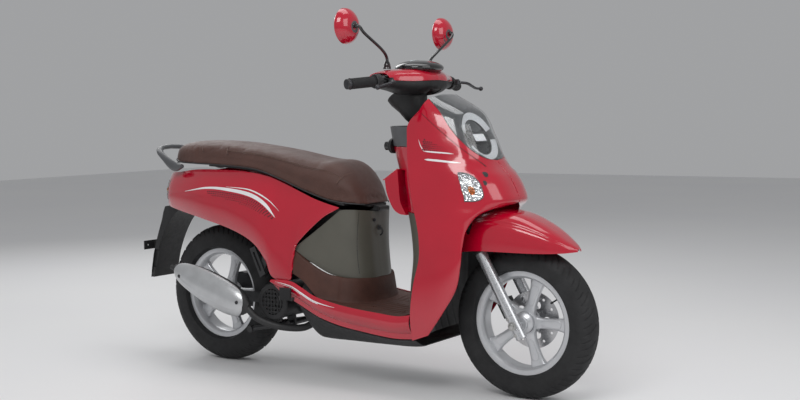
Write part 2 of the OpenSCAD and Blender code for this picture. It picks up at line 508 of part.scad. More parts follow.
// ---------------------------------------------------------------- frame
tube_r = 14;
frame_y = floor_half_w - 68;
frame_path = [[322, frame_y, 214], [40, frame_y, 214], [-40, frame_y, 262], [-118, frame_y, 372], [-196, frame_y, 500],
    [-300, frame_y, 596], [-420, frame_y - 16, 640], [-712, frame_y - 34, 656]];
spine_x = 369;
spine_r = 15;
pivot = [-120, 296];
pivot_r = 6;
module frame() {
    color("#303030") {
        for (s = [-1, 1]) {
            p = [for (q = frame_path) [fx(q[0]), s * q[1], q[2]]];
            for (i = [0 : len(p) - 2]) rod(p[i], p[i + 1], tube_r);
            for (i = [0 : len(p) - 1]) translate(p[i]) sphere(r = tube_r + .6);
        }
        rod([fx(322), -frame_y, 214], [fx(322), frame_y, 214], tube_r + .3);
        rod([fx(-712), 34 - frame_y, 656], [fx(-712), frame_y - 34, 656], tube_r - 2);
        rod([fx(322), 0, 214], [fx(spine_x), 0, 232], spine_r);
        for (z = [232, 470]) translate([fx(spine_x), 0, z]) sphere(r = spine_r + .6);
        rod([fx(spine_x), 0, 232], [fx(spine_x), 0, 470], spine_r);
        difference() {
            union() {
                rod([fx(spine_x), 0, 470], steer_pt([-12, 0, head_tube_z[0] + 60]), spine_r);
                steered() translate([0, 0, head_tube_z[0]]) cylinder(h = head_tube_z[1] - head_tube_z[0], r = 25);
            }
            steered() translate([0, 0, head_tube_z[0] - 30])
                cylinder(h = head_tube_z[1] - head_tube_z[0] + 60, r = stem_r + pin_fit);
        }
        // pin that holds the shock absorber's upper eye, and its lug
        rod(shock_pt(0) - [0, 15, 0], shock_pt(0) + [0, 20, 0], shock_eye_pin_r);
        translate(shock_pt(0) + [-14, 14, -9]) cube([28, 6, 52]);
        // bright plate that braces the right footrest
        difference() {
            side_prism([[fx(-342), 436], [fx(-318), 446], [fx(-272), 352], [fx(-296), 336]], -134, -129);
            side_prism([[fx(-328), 424], [fx(-320), 427], [fx(-288), 362], [fx(-296), 358]], -136, -127);
        }
        side_prism([[fx(-300), 352], [fx(-280), 352], [fx(-230), 560], [fx(-260), 560]], -129, -125);
        // engine hanger
        rod([fx(pivot[0]), -frame_y, pivot[1]], [fx(pivot[0]), frame_y, pivot[1]], pivot_r);
        for (s = [-1, 1]) side_prism([[fx(pivot[0]) - 12, pivot[1] - 12], [fx(pivot[0]) + 12, pivot[1] - 12],
            [fx(-52), 300], [fx(-92), 350]], s * frame_y - 4, s * frame_y + 4);
    }
}

// ---------------------------------------------------------------- steering
module steering_stem() {
    color("#303030") steered() {
        translate([0, 0, yoke_z]) cylinder(h = bar_stem_z - yoke_z, r = stem_r);
        translate([-18, -fork_half - 18, yoke_z - 2]) cube([fork_offset + 36, 2 * fork_half + 36, 24]);
        for (s = [-1, 1]) translate([fork_offset, s * fork_half, 88]) cylinder(h = yoke_z - 87, r = fork_tube_r);
    }
}
bar_stem_z = 852;
module handlebar() {
    grip_len = grip_out_y - bar_bend_y;
    color("#303030") {
        rod([bar_c[0], -bar_bend_y, bar_c[2]], [bar_c[0], bar_bend_y, bar_c[2]], bar_r);
        for (s = [-1, 1]) {
            translate(bar_pt(s, bar_bend_y)) sphere(r = bar_r + .5);
            rod(bar_pt(s, bar_bend_y), bar_pt(s, grip_out_y + 2), bar_r);
            rod(bar_pt(s, grip_out_y + 1), bar_pt(s, grip_out_y + 16), grip_r - 1);
        }
        difference() {
            translate(steer_pt([0, 0, bar_stem_z - 40]) - [0, 0, 0]) rotate([0, -caster, 0]) cylinder(h = 52, r = stem_r + 7);
            translate(steer_pt([0, 0, bar_stem_z - 41])) rotate([0, -caster, 0]) cylinder(h = 41.2, r = stem_r + pin_fit);
        }
        rod(steer_pt([20, 0, bar_stem_z]), bar_c, 12);
        // lever brackets: a clamp on the bar, two lugs and the lever's pin
        for (s = [-1, 1]) {
            o = lever_o(s);
            rod(bar_pt(s, bracket_y[0]), bar_pt(s, bracket_y[1]), bar_r + 5);
            for (z = [-10.2, 6.4]) translate([bar_c[0], s > 0 ? o[1] - 8 : o[1] - 3, o[2] + z])
                cube([lever_pivot[0] + 4, 11, 3.8]);
            translate(o - [0, 0, 10.2]) cylinder(h = 20.4, r = lever_pin_r);
        }
    }
}
// Bar covers: sections in X and Z from one end to the other, split at cover_split
cover_front = [[0, 372], [60, 366], [110, 342], [160, 318], [190, 308]];
cover_back = [[0, 206], [60, 208], [110, 214], [160, 220], [190, 226]];
cover_high = [[0, 1050], [60, 1050], [110, 1048], [160, 1043], [190, 1036]];
cover_split = [[0, 1012], [60, 1010], [110, 1008], [160, 1010], [190, 1012]];
cover_low = [[0, 962], [60, 966], [110, 976], [160, 984], [190, 987]];
cover_ys = [-190, -176, -155, -130, -100, -60, -30, 0, 30, 60, 100, 130, 155, 176, 190];
function cover_arc(y, z1, k) = let(a = curve(cover_back, abs(y)), b = curve(cover_front, abs(y)),
    z0 = curve(cover_split, abs(y))) [for (j = [0 : k]) let(t = 180 * j / k)
        [fx((a + b) / 2 + (b - a) / 2 * sign(cos(t)) * abs(cos(t)) ^ .8), y, z0 + (z1 - z0) * sin(t) ^ .8]];
module handlebar_cover_front() {
    g = [for (y = cover_ys) cover_arc(y, curve(cover_high, abs(y)), 12)];
    lift = [for (r = g) [for (p = r) p + [0, 0, 1]]];
    color("crimson") sheet(lift, inset(lift, panel_t));
}
module handlebar_cover_rear() {
    g = [for (y = cover_ys) cover_arc(y, curve(cover_low, abs(y)), 12)];
    n = 12;
    color("#1e1e1e") {
        sheet(g, inset(g, panel_t), holes = [[6, 8, 2, 10]]);
        for (s = [-1, 1]) difference() {
            rod(bar_pt(s, switch_y[0]), bar_pt(s, switch_y[1]), switch_r);
            rod(bar_pt(s, switch_y[0] - 1), bar_pt(s, switch_y[1] + 1), bar_r + .3);
            translate(switch_o(s, s < 0 ? -6 : -9) - [30, 0, 0]) rotate([0, 90, 0]) cylinder(h = 16, r = 5.4);
            if (s > 0) translate(switch_o(s, 8) - [30, 7.5, 3.5]) cube([16, 15, 7]);
        }
    }
}
// Instrument pod on top of the bar cover
module instrument_cluster() {
    n = 16;
    ys = [-84, -78, -64, -44, -22, 0, 22, 44, 64, 78, 84];
    color("black") loft([for (y = ys) let(k = sqrt(max(.02, 1 - (y / 88) ^ 2)), c = 298, a = 78 * k)
        [for (j = [0 : n - 1]) let(t = 360 * j / n, s = sin(t))
            [fx(c + a * cos(t)), y, s > 0 ? 1053.5 + 26 * k * s : 1053.5 + s]]]);
}
module grip(side) {
    difference() {
        rod(bar_pt(side, grip_in_y), bar_pt(side, grip_out_y), grip_r);
        rod(bar_pt(side, grip_in_y - 1), bar_pt(side, grip_out_y + 1), bar_r + pin_fit);
    }
}
module left_grip() { color("#181818") grip(1); }
module right_grip() { color("#181818") grip(-1); }
// Brake levers: a tapered blade with a ball end, turning on a pin in its bracket
lever_pivot = [36, 203, -2];
lever_pin_r = 4;
function lever_o(s) = [bar_c[0] + lever_pivot[0], s * lever_pivot[1], bar_c[2] + lever_pivot[2]];
function lever_path(s) = [for (p = [[0, 0, 0], [24, 20, -4], [22, 54, -12], [18, 90, -20], [26, 112, -22]])
    lever_o(s) + [p[0], s * p[1], p[2]]];
module brake_lever(s) {
    o = lever_o(s);
    color("#161616") {
        difference() {
            translate(o - [0, 0, 6]) cylinder(h = 12, r = 9);
            translate(o - [0, 0, 7]) cylinder(h = 14, r = lever_pin_r + pin_fit);
        }
        difference() {
            bar(smooth(lever_path(s), 3), 7, 4.5, side = [0, 0, 1], k = 8);
            translate(o - [0, 0, 20]) cylinder(h = 40, r = 8);
        }
        translate(lever_path(s)[4]) sphere(r = 8);
    }
}
module brake_lever_left() { brake_lever(1); }
module brake_lever_right() { brake_lever(-1); }
// Push buttons and switch on the inner ends of the grips; each slides or turns into its housing
switch_r = grip_r + 6;
function switch_o(s, up) = bar_pt(s, (switch_y[0] + switch_y[1]) / 2) + [0, 0, up];
module button(s, up) {
    translate(switch_o(s, up) - [25.5, 0, 0]) rotate([0, 90, 0]) cylinder(h = 8.5, r = 5);
}
module starter_button() { color("silver") button(-1, -6); }
module horn_button() { color("silver") button(1, -9); }
module indicator_switch() {
    color("silver") translate(switch_o(1, 8) - [26, 3.5, 3]) cube([10, 7, 6]);
}
// Mirrors: bent stem turning in the cover, and a round shell tilting on its ball
mirror_base = [256, 128, 1046];
mirror_c = [209, overall_w / 2 - mirror_r, 1182];
ball_r = 7;
function stem_path(s) = [for (p = [mirror_base + [0, 0, 14], mirror_base + [2, 4, 40],
    [mirror_base[0] + 6, mix(mirror_base[1], mirror_c[1], .25), 1112],
    [mirror_c[0] + 50, mix(mirror_base[1], mirror_c[1], .8), 1158],
    [mirror_c[0] + 48, mix(mirror_base[1], mirror_c[1], .96), 1178],
    [mirror_c[0] + 32, mirror_c[1], mirror_c[2]]]) [fx(p[0]), s * p[1], p[2]]];
module mirror_stem(s) {
    b = [fx(mirror_base[0]), s * mirror_base[1], mirror_base[2]];
    color("#1a1a1a") {
        translate(b + [0, 0, 3.5]) cylinder(h = 14, r = 9);
        bar(smooth(stem_path(s), 4), 5, 5, side = [.5, -.6 * s, .6], k = 8);
        translate(stem_path(s)[5]) rotate([0, 0, 180]) sphere(r = ball_r);
    }
}
module mirror_stem_right() { mirror_stem(-1); }
module mirror_stem_left() { mirror_stem(1); }
module mirror_head(s) {
    c = [fx(mirror_c[0]), s * mirror_c[1], mirror_c[2]];
    color("crimson") translate(c) rotate([0, 90, 0]) difference() {
        rotate_extrude() polygon([[0, -6], [mirror_r - 3, -6], [mirror_r, -3], [mirror_r - 1, 6], [mirror_r - 8, 18],
            [mirror_r - 22, 28], [16, 32], [0, 32]]);
        translate([0, 0, 32]) sphere(r = ball_r + .3);
    }
}
module mirror_head_right() { mirror_head(-1); }
module mirror_head_left() { mirror_head(1); }

// ---------------------------------------------------------------- fork and front wheel
module fork_sliders() {
    color("silver") steered() {
        for (s = [-1, 1]) translate([fork_offset, s * fork_half, 0]) difference() {
            union() {
                translate([0, 0, -46]) cylinder(h = slider_top_z + 46, r = slider_r);
                translate([0, 0, slider_top_z - 14]) cylinder(h = 16, r = slider_r + 1);
            }
            translate([0, 0, 10]) cylinder(h = slider_top_z, r = fork_tube_r + pin_fit);
        }
        // axle
        translate([fork_offset, fork_half + slider_r + 8, 0]) rotate([90, 0, 0])
            cylinder(h = 2 * (fork_half + slider_r + 8), r = axle_r);
        for (s = [-1, 1]) translate([fork_offset, s * (fork_half + slider_r + 4), 0]) rotate([90, 0, 0])
            cylinder(h = 7, r = 11, center = true);
        // caliper lug behind the left slider
        translate([-46, fork_half - 8, 62]) cube([fork_offset + 30, 12, 26]);
    }
}
disc_y = 44;
disc_r = 92;
disc_t = 4;
module brake_caliper() {
    color("#2e2e30") steered() translate([-58, disc_y - 9, 44]) difference() {
        cube([46, fork_half + 1 - disc_y, 60]);
        translate([-1, 5, -1]) cube([48, 8, 50]);
    }
}
// Brake hose, clipped to the left slider
hose_r = 3.5;
hose_path = [[-38, fork_half - 8, 107], [-46, fork_half - 10, 150], [-40, fork_half - 6, 200],
    [-14, fork_half - 2, 244], [8, fork_half, 247]];
module brake_hose() {
    color("black") bar([for (p = smooth(hose_path, 3)) steer_pt(p)], hose_r, hose_r, side = [0, 1, 0], k = 8);
}
// Fender: crown line, lower edge and half width along its length
fender_xs = [470, 486, 510, 547, 592, 640, 700, 756, 800, 835, 860, 874];
fender_top = [[470, 500], [486, 526], [510, 556], [547, 582], [592, 596], [640, 598], [700, 586], [756, 562], [800, 537],
    [835, 513], [860, 495], [874, 484]];
fender_low = [[470, 458], [547, 470], [640, 472], [756, 471], [835, 472], [874, 475]];
fender_w = [[470, 82], [510, 98], [547, 101], [640, 99], [700, 94], [756, 84], [800, 70], [835, 51], [860, 31],
    [874, 12]];
function fender_pt(x, v) = let(z0 = curve(fender_low, x), z1 = curve(fender_top, x), w = curve(fender_w, x),
    a = 90 * v) [fx(x), w * sign(v) * sin(abs(a)) ^ .6, z0 + (z1 - z0) * cos(a) ^ .6];
module front_fender() {
    g = grid(fender_xs, [-1, -.85, -.7, -.55, -.4, -.2, 0, .2, .4, .55, .7, .85, 1], function (x, v) fender_pt(x, v));
    // the fork tubes pass through two openings
    color("crimson") sheet(g, inset(g, panel_t), holes = [[1, 3, 1, 5], [1, 3, 7, 11]]);
}
// Wheel pieces, drawn about the Z axis and then laid over
module wheel_at(x, z) {
    translate([x, 0, z]) rotate([90, 0, 0]) children();
}
module rim(w, hub_w, bore) {
    hw = w / 2;
    rotate([0, 0, 36]) rotate_extrude() polygon([[rim_r - 14, -hw + 6], [rim_r + 5, -hw], [rim_r + 5, -hw + 4], [rim_r, -hw + 7],
        [rim_r - 8, -hw + 20], [rim_r - 8, hw - 20], [rim_r, hw - 7], [rim_r + 5, hw - 4], [rim_r + 5, hw],
        [rim_r - 14, hw - 6], [rim_r - 18, hw - 18], [rim_r - 18, -hw + 18]]);
    difference() {
        union() {
            translate([0, 0, -hub_w / 2]) rotate([0, 0, 36]) cylinder(h = hub_w, r = 34);
            for (i = [0 : 4]) rotate([0, 0, 72 * i]) translate([0, 0, -11]) linear_extrude(22)
                polygon([[10, -19], [60, -17], [rim_r - 12, -26], [rim_r - 12, 26], [60, 17], [10, 19]]);
        }
        translate([0, 0, -hub_w]) cylinder(h = 2 * hub_w, r = bore);
        for (i = [0 : 4]) rotate([0, 0, 72 * i]) translate([0, 0, 6]) linear_extrude(12)
            polygon([[42, -8], [rim_r - 22, -14], [rim_r - 22, 14], [42, 8]]);
    }
}
module tyre(r, w) {
    n = 12;
    crown = [for (i = [0 : n]) let(a = -90 + 180 * i / n) [mix(rim_r + 12, r, cos(a) ^ .7), w / 2 * sign(sin(a)) * abs(sin(a)) ^ .8]];
    rotate_extrude() polygon([each crown, [rim_r + 5.6, w / 2 - 14], [rim_r + 5.6, rim_w(w) / 2 - 4.8],
        [rim_r + .6, rim_w(w) / 2 - 7.8], [rim_r + 4, rim_w(w) / 2 - 22],
        [rim_r + 4, -rim_w(w) / 2 + 22], [rim_r + .6, -rim_w(w) / 2 + 7.8],
        [rim_r + 5.6, -rim_w(w) / 2 + 4.8], [rim_r + 5.6, -w / 2 + 14]]);
}
function rim_w(w) = w - 34;
module front_rim() {
    color("silver") wheel_at(front_axle_x, front_tyre_r) rim(rim_w(front_tyre_w), 84, axle_r + pin_fit);
}
module front_tyre() {
    color("#202020") wheel_at(front_axle_x, front_tyre_r) tyre(front_tyre_r, front_tyre_w);
}
module brake_disc() {
    color("lightgray") wheel_at(front_axle_x, front_tyre_r) translate([0, 0, -disc_y - disc_t / 2]) difference() {
        cylinder(h = disc_t, r = disc_r);
        translate([0, 0, -1]) cylinder(h = disc_t + 2, r = 18);
        for (i = [0 : 11]) rotate([0, 0, 30 * i]) translate([disc_r - 16, 0, -1]) cylinder(h = disc_t + 2, r = 4.5);
        for (i = [0 : 4]) rotate([0, 0, 72 * i]) translate([50, 0, -1]) cylinder(h = disc_t + 2, r = 13);
    }
}

// ---------------------------------------------------------------- engine and rear wheel
crank = [-233, 256];
rear_hub_w = 96;
module engine() {
    px = fx(pivot[0]);
    cx = fx(crank[0]);
    rx = rear_axle_x;
    color("#2c2c2e") {
        difference() {
            union() {
                // crankcase, forward cylinder and hanger lug
                rod([cx, -118, crank[1]], [cx, 62, crank[1]], 62);
                translate([cx, -58, crank[1] - 42]) cube([fx(-140) - cx, 104, 76]);
                translate([fx(-140) - 2, -50, crank[1] - 50]) cube([96, 88, 62]);
                translate([px - 34, -60, pivot[1] - 20]) cube([42, 120, 28]);
                rod([px, -60, pivot[1]], [px, 60, pivot[1]], 16);
                // transmission case along the left side of the wheel
                rod([cx, 61, crank[1]], [cx, 132, crank[1]], 74);
                rod([rx, 66, rear_tyre_r], [rx, 132, rear_tyre_r], 66);
                side_prism([[cx, crank[1] - 70], [cx, crank[1] + 72], [rx, rear_tyre_r + 62], [rx, rear_tyre_r - 62]],
                    66.5, 131);
                // rear axle
                rod([rx, -62, rear_tyre_r], [rx, 70, rear_tyre_r], axle_r + 2);
                // right-hand arm that carries the muffler and the wheel's outer end
                side_prism([[cx - 20, crank[1] + 20], [cx - 20, crank[1] - 20], [rx - 18, rear_tyre_r - 16],
                    [rx - 18, rear_tyre_r + 18]], -76, -62);
                // lug and pin for the shock absorber's lower eye
                side_prism([[shock_pt(1)[0] - 14, 296], [shock_pt(1)[0] + 14, 296], [shock_pt(1)[0] + 10, 354],
                    [shock_pt(1)[0] - 10, 354]], 111, 119);
                rod(shock_pt(1) - [0, 14, 0], shock_pt(1) + [0, 16, 0], shock_eye_pin_r);
                // lugs for the two stands
                for (y = [-64, 54]) side_prism([[fx(stand_pivot[0]) - 14, stand_pivot[1] - 14],
                    [fx(stand_pivot[0]) + 14, stand_pivot[1] - 14], [fx(stand_pivot[0]) + 10, 214],
                    [fx(stand_pivot[0]) - 30, 214]], y, y + 10);
                rod(side_o + 4 * side_axis, side_o + 26 * side_axis, 11);
                rod(side_o + 20 * side_axis, side_o - 14 * side_axis, side_pin_r);
                // air filter box
                translate([fx(-470), 70, 296]) cube([150, 60, 96]);
            }
            rod([px, -70, pivot[1]], [px, 70, pivot[1]], pivot_r + pin_fit);
            rod([fx(stand_pivot[0]), -70, stand_pivot[1]], [fx(stand_pivot[0]), 70, stand_pivot[1]], stand_r + pin_fit);
        }
    }
}
module fan_cover() {
    cx = fx(crank[0]);
    color("#1c1c1c") difference() {
        rod([cx, -144, crank[1]], [cx, -119, crank[1]], 60);
        rod([cx, -138, crank[1]], [cx, -110, crank[1]], 55);
        for (i = [-3 : 3]) for (j = [-3 : 3]) if (norm([i, j]) < 3.3)
            rod([cx + 14 * i, -150, crank[1] + 14 * j], [cx + 14 * i, -130, crank[1] + 14 * j], 4.5);
    }
}
// Muffler and the bright shield over its outer side
muffler_y = -176;
muffler_line = [[-314, 232], [-338, 242], [-374, 254], [-434, 274], [-504, 298], [-574, 322], [-630, 341], [-668, 353]];
muffler_r = [[0, 16], [1, 38], [2, 50], [3, 56], [4, 55], [5, 47], [6, 34], [7, 12]];
muffler_flat = .68;
module muffler() {
    rings = [for (i = [0 : 14]) let(t = i / 2, p = curve([for (k = [0 : 7]) [k, muffler_line[k]]], t), r = curve(muffler_r, t))
        [for (j = [0 : 15]) let(a = 22.5 * j)
            [fx(p[0]) + .25 * r * sin(a), muffler_y + muffler_flat * r * cos(a), p[1] + r * sin(a)]]];
    color("#2a2a2a") {
        loft(rings);
        bar(smooth([[fx(-322), muffler_y, 232], [fx(-286), muffler_y + 14, 196], [fx(-226), -132, 170],
            [fx(-160), -70, 160], [fx(-124), -20, 186]], 4), 13, 13, side = [0, 1, 0], k = 10);
    }
}
module muffler_shield() {
    rows = [for (i = [1 : 13]) i / 2];
    shell = function (t, a, d) let(p = curve([for (k = [0 : 7]) [k, muffler_line[k]]], t), r = curve(muffler_r, t))
        [fx(p[0]) + .25 * r * sin(a), muffler_y + (muffler_flat * r + d) * cos(a), p[1] + (r + d) * sin(a)];
    arcs = steps(102, 258, 10);
    color("silver") sheet(grid(rows, arcs, function (t, a) shell(t, a, 6)), grid(rows, arcs, function (t, a) shell(t, a, 3)));
}
module rear_rim() {
    color("silver") wheel_at(rear_axle_x, rear_tyre_r) rim(rim_w(rear_tyre_w), rear_hub_w, axle_r + 2 + pin_fit);
}
module rear_tyre() {
    color("#202020") wheel_at(rear_axle_x, rear_tyre_r) tyre(rear_tyre_r, rear_tyre_w);
}
// Rear shock absorber on the left
shock_y = 96;
shock_top = [-430, 590];
shock_low = [-500, 345];
function shock_pt(t) = [mix(fx(shock_top[0]), fx(shock_low[0]), t), shock_y, mix(shock_top[1], shock_low[1], t)];
shock_rod_r = 6;
shock_body_r = 14;
shock_spring_r = [17, 24];
shock_eye_pin_r = 5;
module shock_eye(t, bore, r) {
    rod(shock_pt(t) - [0, 12, 0], shock_pt(t) + [0, 12, 0], r, bore);
}
module shock_upper() {
    color("#444444") {
        shock_eye(0, shock_eye_pin_r + pin_fit, 12);
        difference() {
            union() {
                rod(shock_pt(.03), shock_pt(.62), shock_rod_r);
                rod(shock_pt(.08), shock_pt(.105), shock_spring_r[1]);
            }
            shock_eye(0, 0, 8);
        }
    }
}
// The lower eye has room round its pin for the small change of angle in use
module shock_lower() {
    color("#555555") {
        difference() {
            union() {
                shock_eye(1, 0, 12);
                rod(shock_pt(.42), shock_pt(.965), shock_body_r);
                rod(shock_pt(.635), shock_pt(.66), shock_spring_r[1]);
            }
            rod(shock_pt(.4), shock_pt(.93), shock_rod_r + pin_fit);
            shock_eye(1, 0, shock_eye_pin_r + 2);
        }
    }
}
module shock_spring() {
    color("crimson") rod(shock_pt(.11), shock_pt(.63), shock_spring_r[1], shock_spring_r[0]);
}

// ---------------------------------------------------------------- stands and steps
stand_pivot = [-212, 172];
stand_r = 9;
stand_leg = 176;
module centre_stand() {
    x = fx(stand_pivot[0]);
    z = stand_pivot[1];
    color("#2a2a2a") {
        rod([x, -86, z], [x, 86, z], stand_r);
        rod([x - 62, -78, z - 12], [x - 62, 78, z - 12], 8);
        for (s = [-1, 1]) {
            rod([x, s * 78, z], [x - stand_leg, s * 80, z - 34], 8.5);
            rod([x - stand_leg, s * 72, z - 34], [x - stand_leg, s * 92, z - 34], 12);
        }
    }
}
// Side stand: its pin is tilted so that the leg swings down and outwards
side_axis = unit([.024, -.898, -.439]);
side_o = [fx(-200), 152, 206];
side_leg = [-182, 4, -10];
side_pin_r = 5;
module side_stand() {
    color("#2a2a2a") difference() {
        union() {
            rod(side_o + 3 * side_axis, side_o - 13 * side_axis, 12);
            rod(side_o - 6 * side_axis, side_o - 6 * side_axis + side_leg, 8);
            translate(side_o - 6 * side_axis + side_leg - [8, 4, 13]) cube([30, 22, 8]);
        }
        rod(side_o - 30 * side_axis, side_o + 30 * side_axis, side_pin_r + pin_fit);
    }
}
// Folding footrests, stored flat against the rear ends of the rails
step_o = [-118, 210, 284];
step_size = [46, 8, 38];
step_pin_r = 3;
module pillion_step(s) {
    o = [fx(step_o[0]), s * fy(step_o[1]), step_o[2]];
    color("#181818") difference() {
        union() {
            translate(o + [-step_size[0] / 2, s > 0 ? -1 : 1 - step_size[1], 0]) cube(step_size);
            rod(o - [step_size[0] / 2, 0, 0], o + [step_size[0] / 2, 0, 0], 5);
        }
        rod(o - [step_size[0], 0, 0], o + [step_size[0], 0, 0], step_pin_r + pin_fit);
    }
}
module pillion_step_right() { pillion_step(-1); }
module pillion_step_left() { pillion_step(1); }
knob_c = [226, -70, 800];
module ignition_knob() {
    color("#202020") translate([fx(knob_c[0]), knob_c[1], knob_c[2]]) rotate([0, -90, 0]) cylinder(h = 16, r = 15);
}

frame();
front_apron();
headlight_housing();
headlight_leds();
headlight_lens();
front_indicators();
leg_shield();
inner_fender();
floor_mat();
side_rail_right();
side_rail_left();
belly_cover();
centre_cover();
side_panel_right();
side_panel_left();
luggage_box();
fuel_tank();
fuel_cap();
grab_rail();
tail_light();
rear_mudguard();
seat_pan();
seat_cushion();
ignition_knob();
pillion_step_right();
pillion_step_left();
steering_stem();
front_fender();
handlebar();
handlebar_cover_front();
handlebar_cover_rear();
instrument_cluster();
left_grip();
right_grip();
brake_lever_left();
brake_lever_right();
starter_button();
horn_button();
indicator_switch();
mirror_stem_right();
mirror_stem_left();
mirror_head_right();
mirror_head_left();
fork_sliders();
brake_caliper();
brake_hose();
front_rim();
front_tyre();
brake_disc();
engine();
fan_cover();
muffler();
muffler_shield();
rear_rim();
rear_tyre();
shock_upper();
shock_lower();
shock_spring();
centre_stand();
side_stand();
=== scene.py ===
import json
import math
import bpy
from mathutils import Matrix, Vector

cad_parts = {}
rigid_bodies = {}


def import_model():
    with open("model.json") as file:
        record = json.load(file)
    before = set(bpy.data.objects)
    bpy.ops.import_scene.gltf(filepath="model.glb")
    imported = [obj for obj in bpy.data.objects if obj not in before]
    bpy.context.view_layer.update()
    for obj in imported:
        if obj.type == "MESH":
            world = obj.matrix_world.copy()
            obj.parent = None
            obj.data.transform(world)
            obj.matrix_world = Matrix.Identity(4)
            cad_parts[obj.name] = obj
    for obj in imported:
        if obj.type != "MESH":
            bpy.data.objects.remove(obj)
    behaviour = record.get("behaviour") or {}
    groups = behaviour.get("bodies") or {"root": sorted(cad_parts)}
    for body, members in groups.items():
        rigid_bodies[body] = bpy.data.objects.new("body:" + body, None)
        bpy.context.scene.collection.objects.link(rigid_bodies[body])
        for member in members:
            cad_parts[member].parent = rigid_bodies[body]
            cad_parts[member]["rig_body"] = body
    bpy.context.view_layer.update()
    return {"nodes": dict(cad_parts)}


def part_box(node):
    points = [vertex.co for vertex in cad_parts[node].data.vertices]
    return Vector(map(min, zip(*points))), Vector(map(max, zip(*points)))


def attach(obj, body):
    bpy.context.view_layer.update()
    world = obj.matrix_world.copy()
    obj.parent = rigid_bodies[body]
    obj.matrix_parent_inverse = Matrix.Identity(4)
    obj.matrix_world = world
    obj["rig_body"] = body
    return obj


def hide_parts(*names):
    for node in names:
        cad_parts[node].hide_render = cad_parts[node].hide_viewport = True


bl_info = {
    "name": "Step-Through Scooter",
    "version": (1, 0, 0),
    "blender": (4, 5, 0),
    "location": "3D View > Sidebar > Scooter",
    "description": "Builds the visible pieces of a small step-through scooter round its CAD frame",
    "category": "Object",
}

import bmesh
import bpy
import numpy as np
from bpy.props import FloatProperty, FloatVectorProperty, PointerProperty
from mathutils import Matrix, Vector

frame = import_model()
MM = 0.001
SIDES = ((-1, "right"), (1, "left"))


# ---------------------------------------------------------------- frame measures
def box_mm(node):
    """Lowest and highest corner of a CAD node in millimetres."""
    lo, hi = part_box(node)
    return np.array(lo) / MM, np.array(hi) / MM


def middle(node):
    """Centre of a CAD node's box in millimetres."""
    lo, hi = box_mm(node)
    return (lo + hi) / 2


FRONT_HUB = middle("front_tyre")
REAR_HUB = middle("rear_tyre")
FRONT_R = FRONT_HUB[2]
REAR_R = REAR_HUB[2]
PANEL = 3.0
CASTER = math.radians(29)
FORK_OFFSET = 32.0
FORK_HALF = (box_mm("fork_sliders")[1][1] - box_mm("fork_sliders")[0][1]) / 2 - 26
STEER_O = np.array([FRONT_HUB[0] - FORK_OFFSET * math.cos(CASTER), 0,
                    FRONT_R - FORK_OFFSET * math.sin(CASTER)])


def steered(points):
    """Points of the steering frame (forward, left, up its axis) turned by the caster angle onto the axis."""
    p = np.asarray(points, float)
    s, c = math.sin(CASTER), math.cos(CASTER)
    return STEER_O + np.stack([p[..., 0] * c - p[..., 2] * s, p[..., 1], p[..., 0] * s + p[..., 2] * c], -1)


# ---------------------------------------------------------------- curves and surfaces
def curve(table, t):
    """Cubic through (parameter, value) rows; each slope is that of the chord between the row's neighbours."""
    keys = np.array([row[0] for row in table], float)
    values = np.array([np.ravel(row[1]) for row in table], float)
    t = np.asarray(t, float)
    last = len(keys) - 1
    i = np.clip(np.searchsorted(keys, t, side="left") - 1, 0, last - 1)
    before, after = np.maximum(i - 1, 0), np.minimum(i + 2, last)
    h = (keys[i + 1] - keys[i])[..., None]
    u = np.clip((t - keys[i])[..., None] / h, 0, 1)
    m1 = (values[i + 1] - values[before]) / (keys[i + 1] - keys[before])[..., None]
    m2 = (values[after] - values[i]) / (keys[after] - keys[i])[..., None]
    out = ((2 * u**3 - 3 * u**2 + 1) * values[i] + (u**3 - 2 * u**2 + u) * h * m1
           + (3 * u**2 - 2 * u**3) * values[i + 1] + (u**3 - u**2) * h * m2)
    return out[..., 0] if values.shape[1] == 1 else out


def smooth_path(points, per=8):
    """Points resampled on the cubic through a short list of points."""
    return curve(list(enumerate(points)), np.linspace(0, len(points) - 1, (len(points) - 1) * per + 1))


def unit(v):
    """Vectors scaled to length one."""
    return v / np.maximum(np.linalg.norm(v, axis=-1, keepdims=True), 1e-9)


def signed_power(x, e):
    """Power of the size of x with the sign of x."""
    return np.sign(x) * np.abs(x) ** e


def mesh_of(us, vs):
    """The two grids of every pair of values, the first running down the rows."""
    return np.meshgrid(np.asarray(us, float), np.asarray(vs, float), indexing="ij")


def normals(grid, core):
    """Cross product of the two grid directions, turned as a whole to point away from the core."""
    n = unit(np.cross(np.gradient(grid, axis=0), np.gradient(grid, axis=1)))
    return n * (1 if np.sum(n * (grid - np.asarray(core, float))) > 0 else -1)


def surface_normals(surface, u, v, core):
    """Cross product of the surface's two slopes over a short step, pointing away from the core."""
    e = 1e-3
    n = unit(np.cross(surface(u + e, v) - surface(u - e, v), surface(u, v + e) - surface(u, v - e)))
    away = np.sum(n * (surface(u, v) - np.asarray(core, float)), axis=-1, keepdims=True)
    return n * np.where(away > 0, 1.0, -1.0)


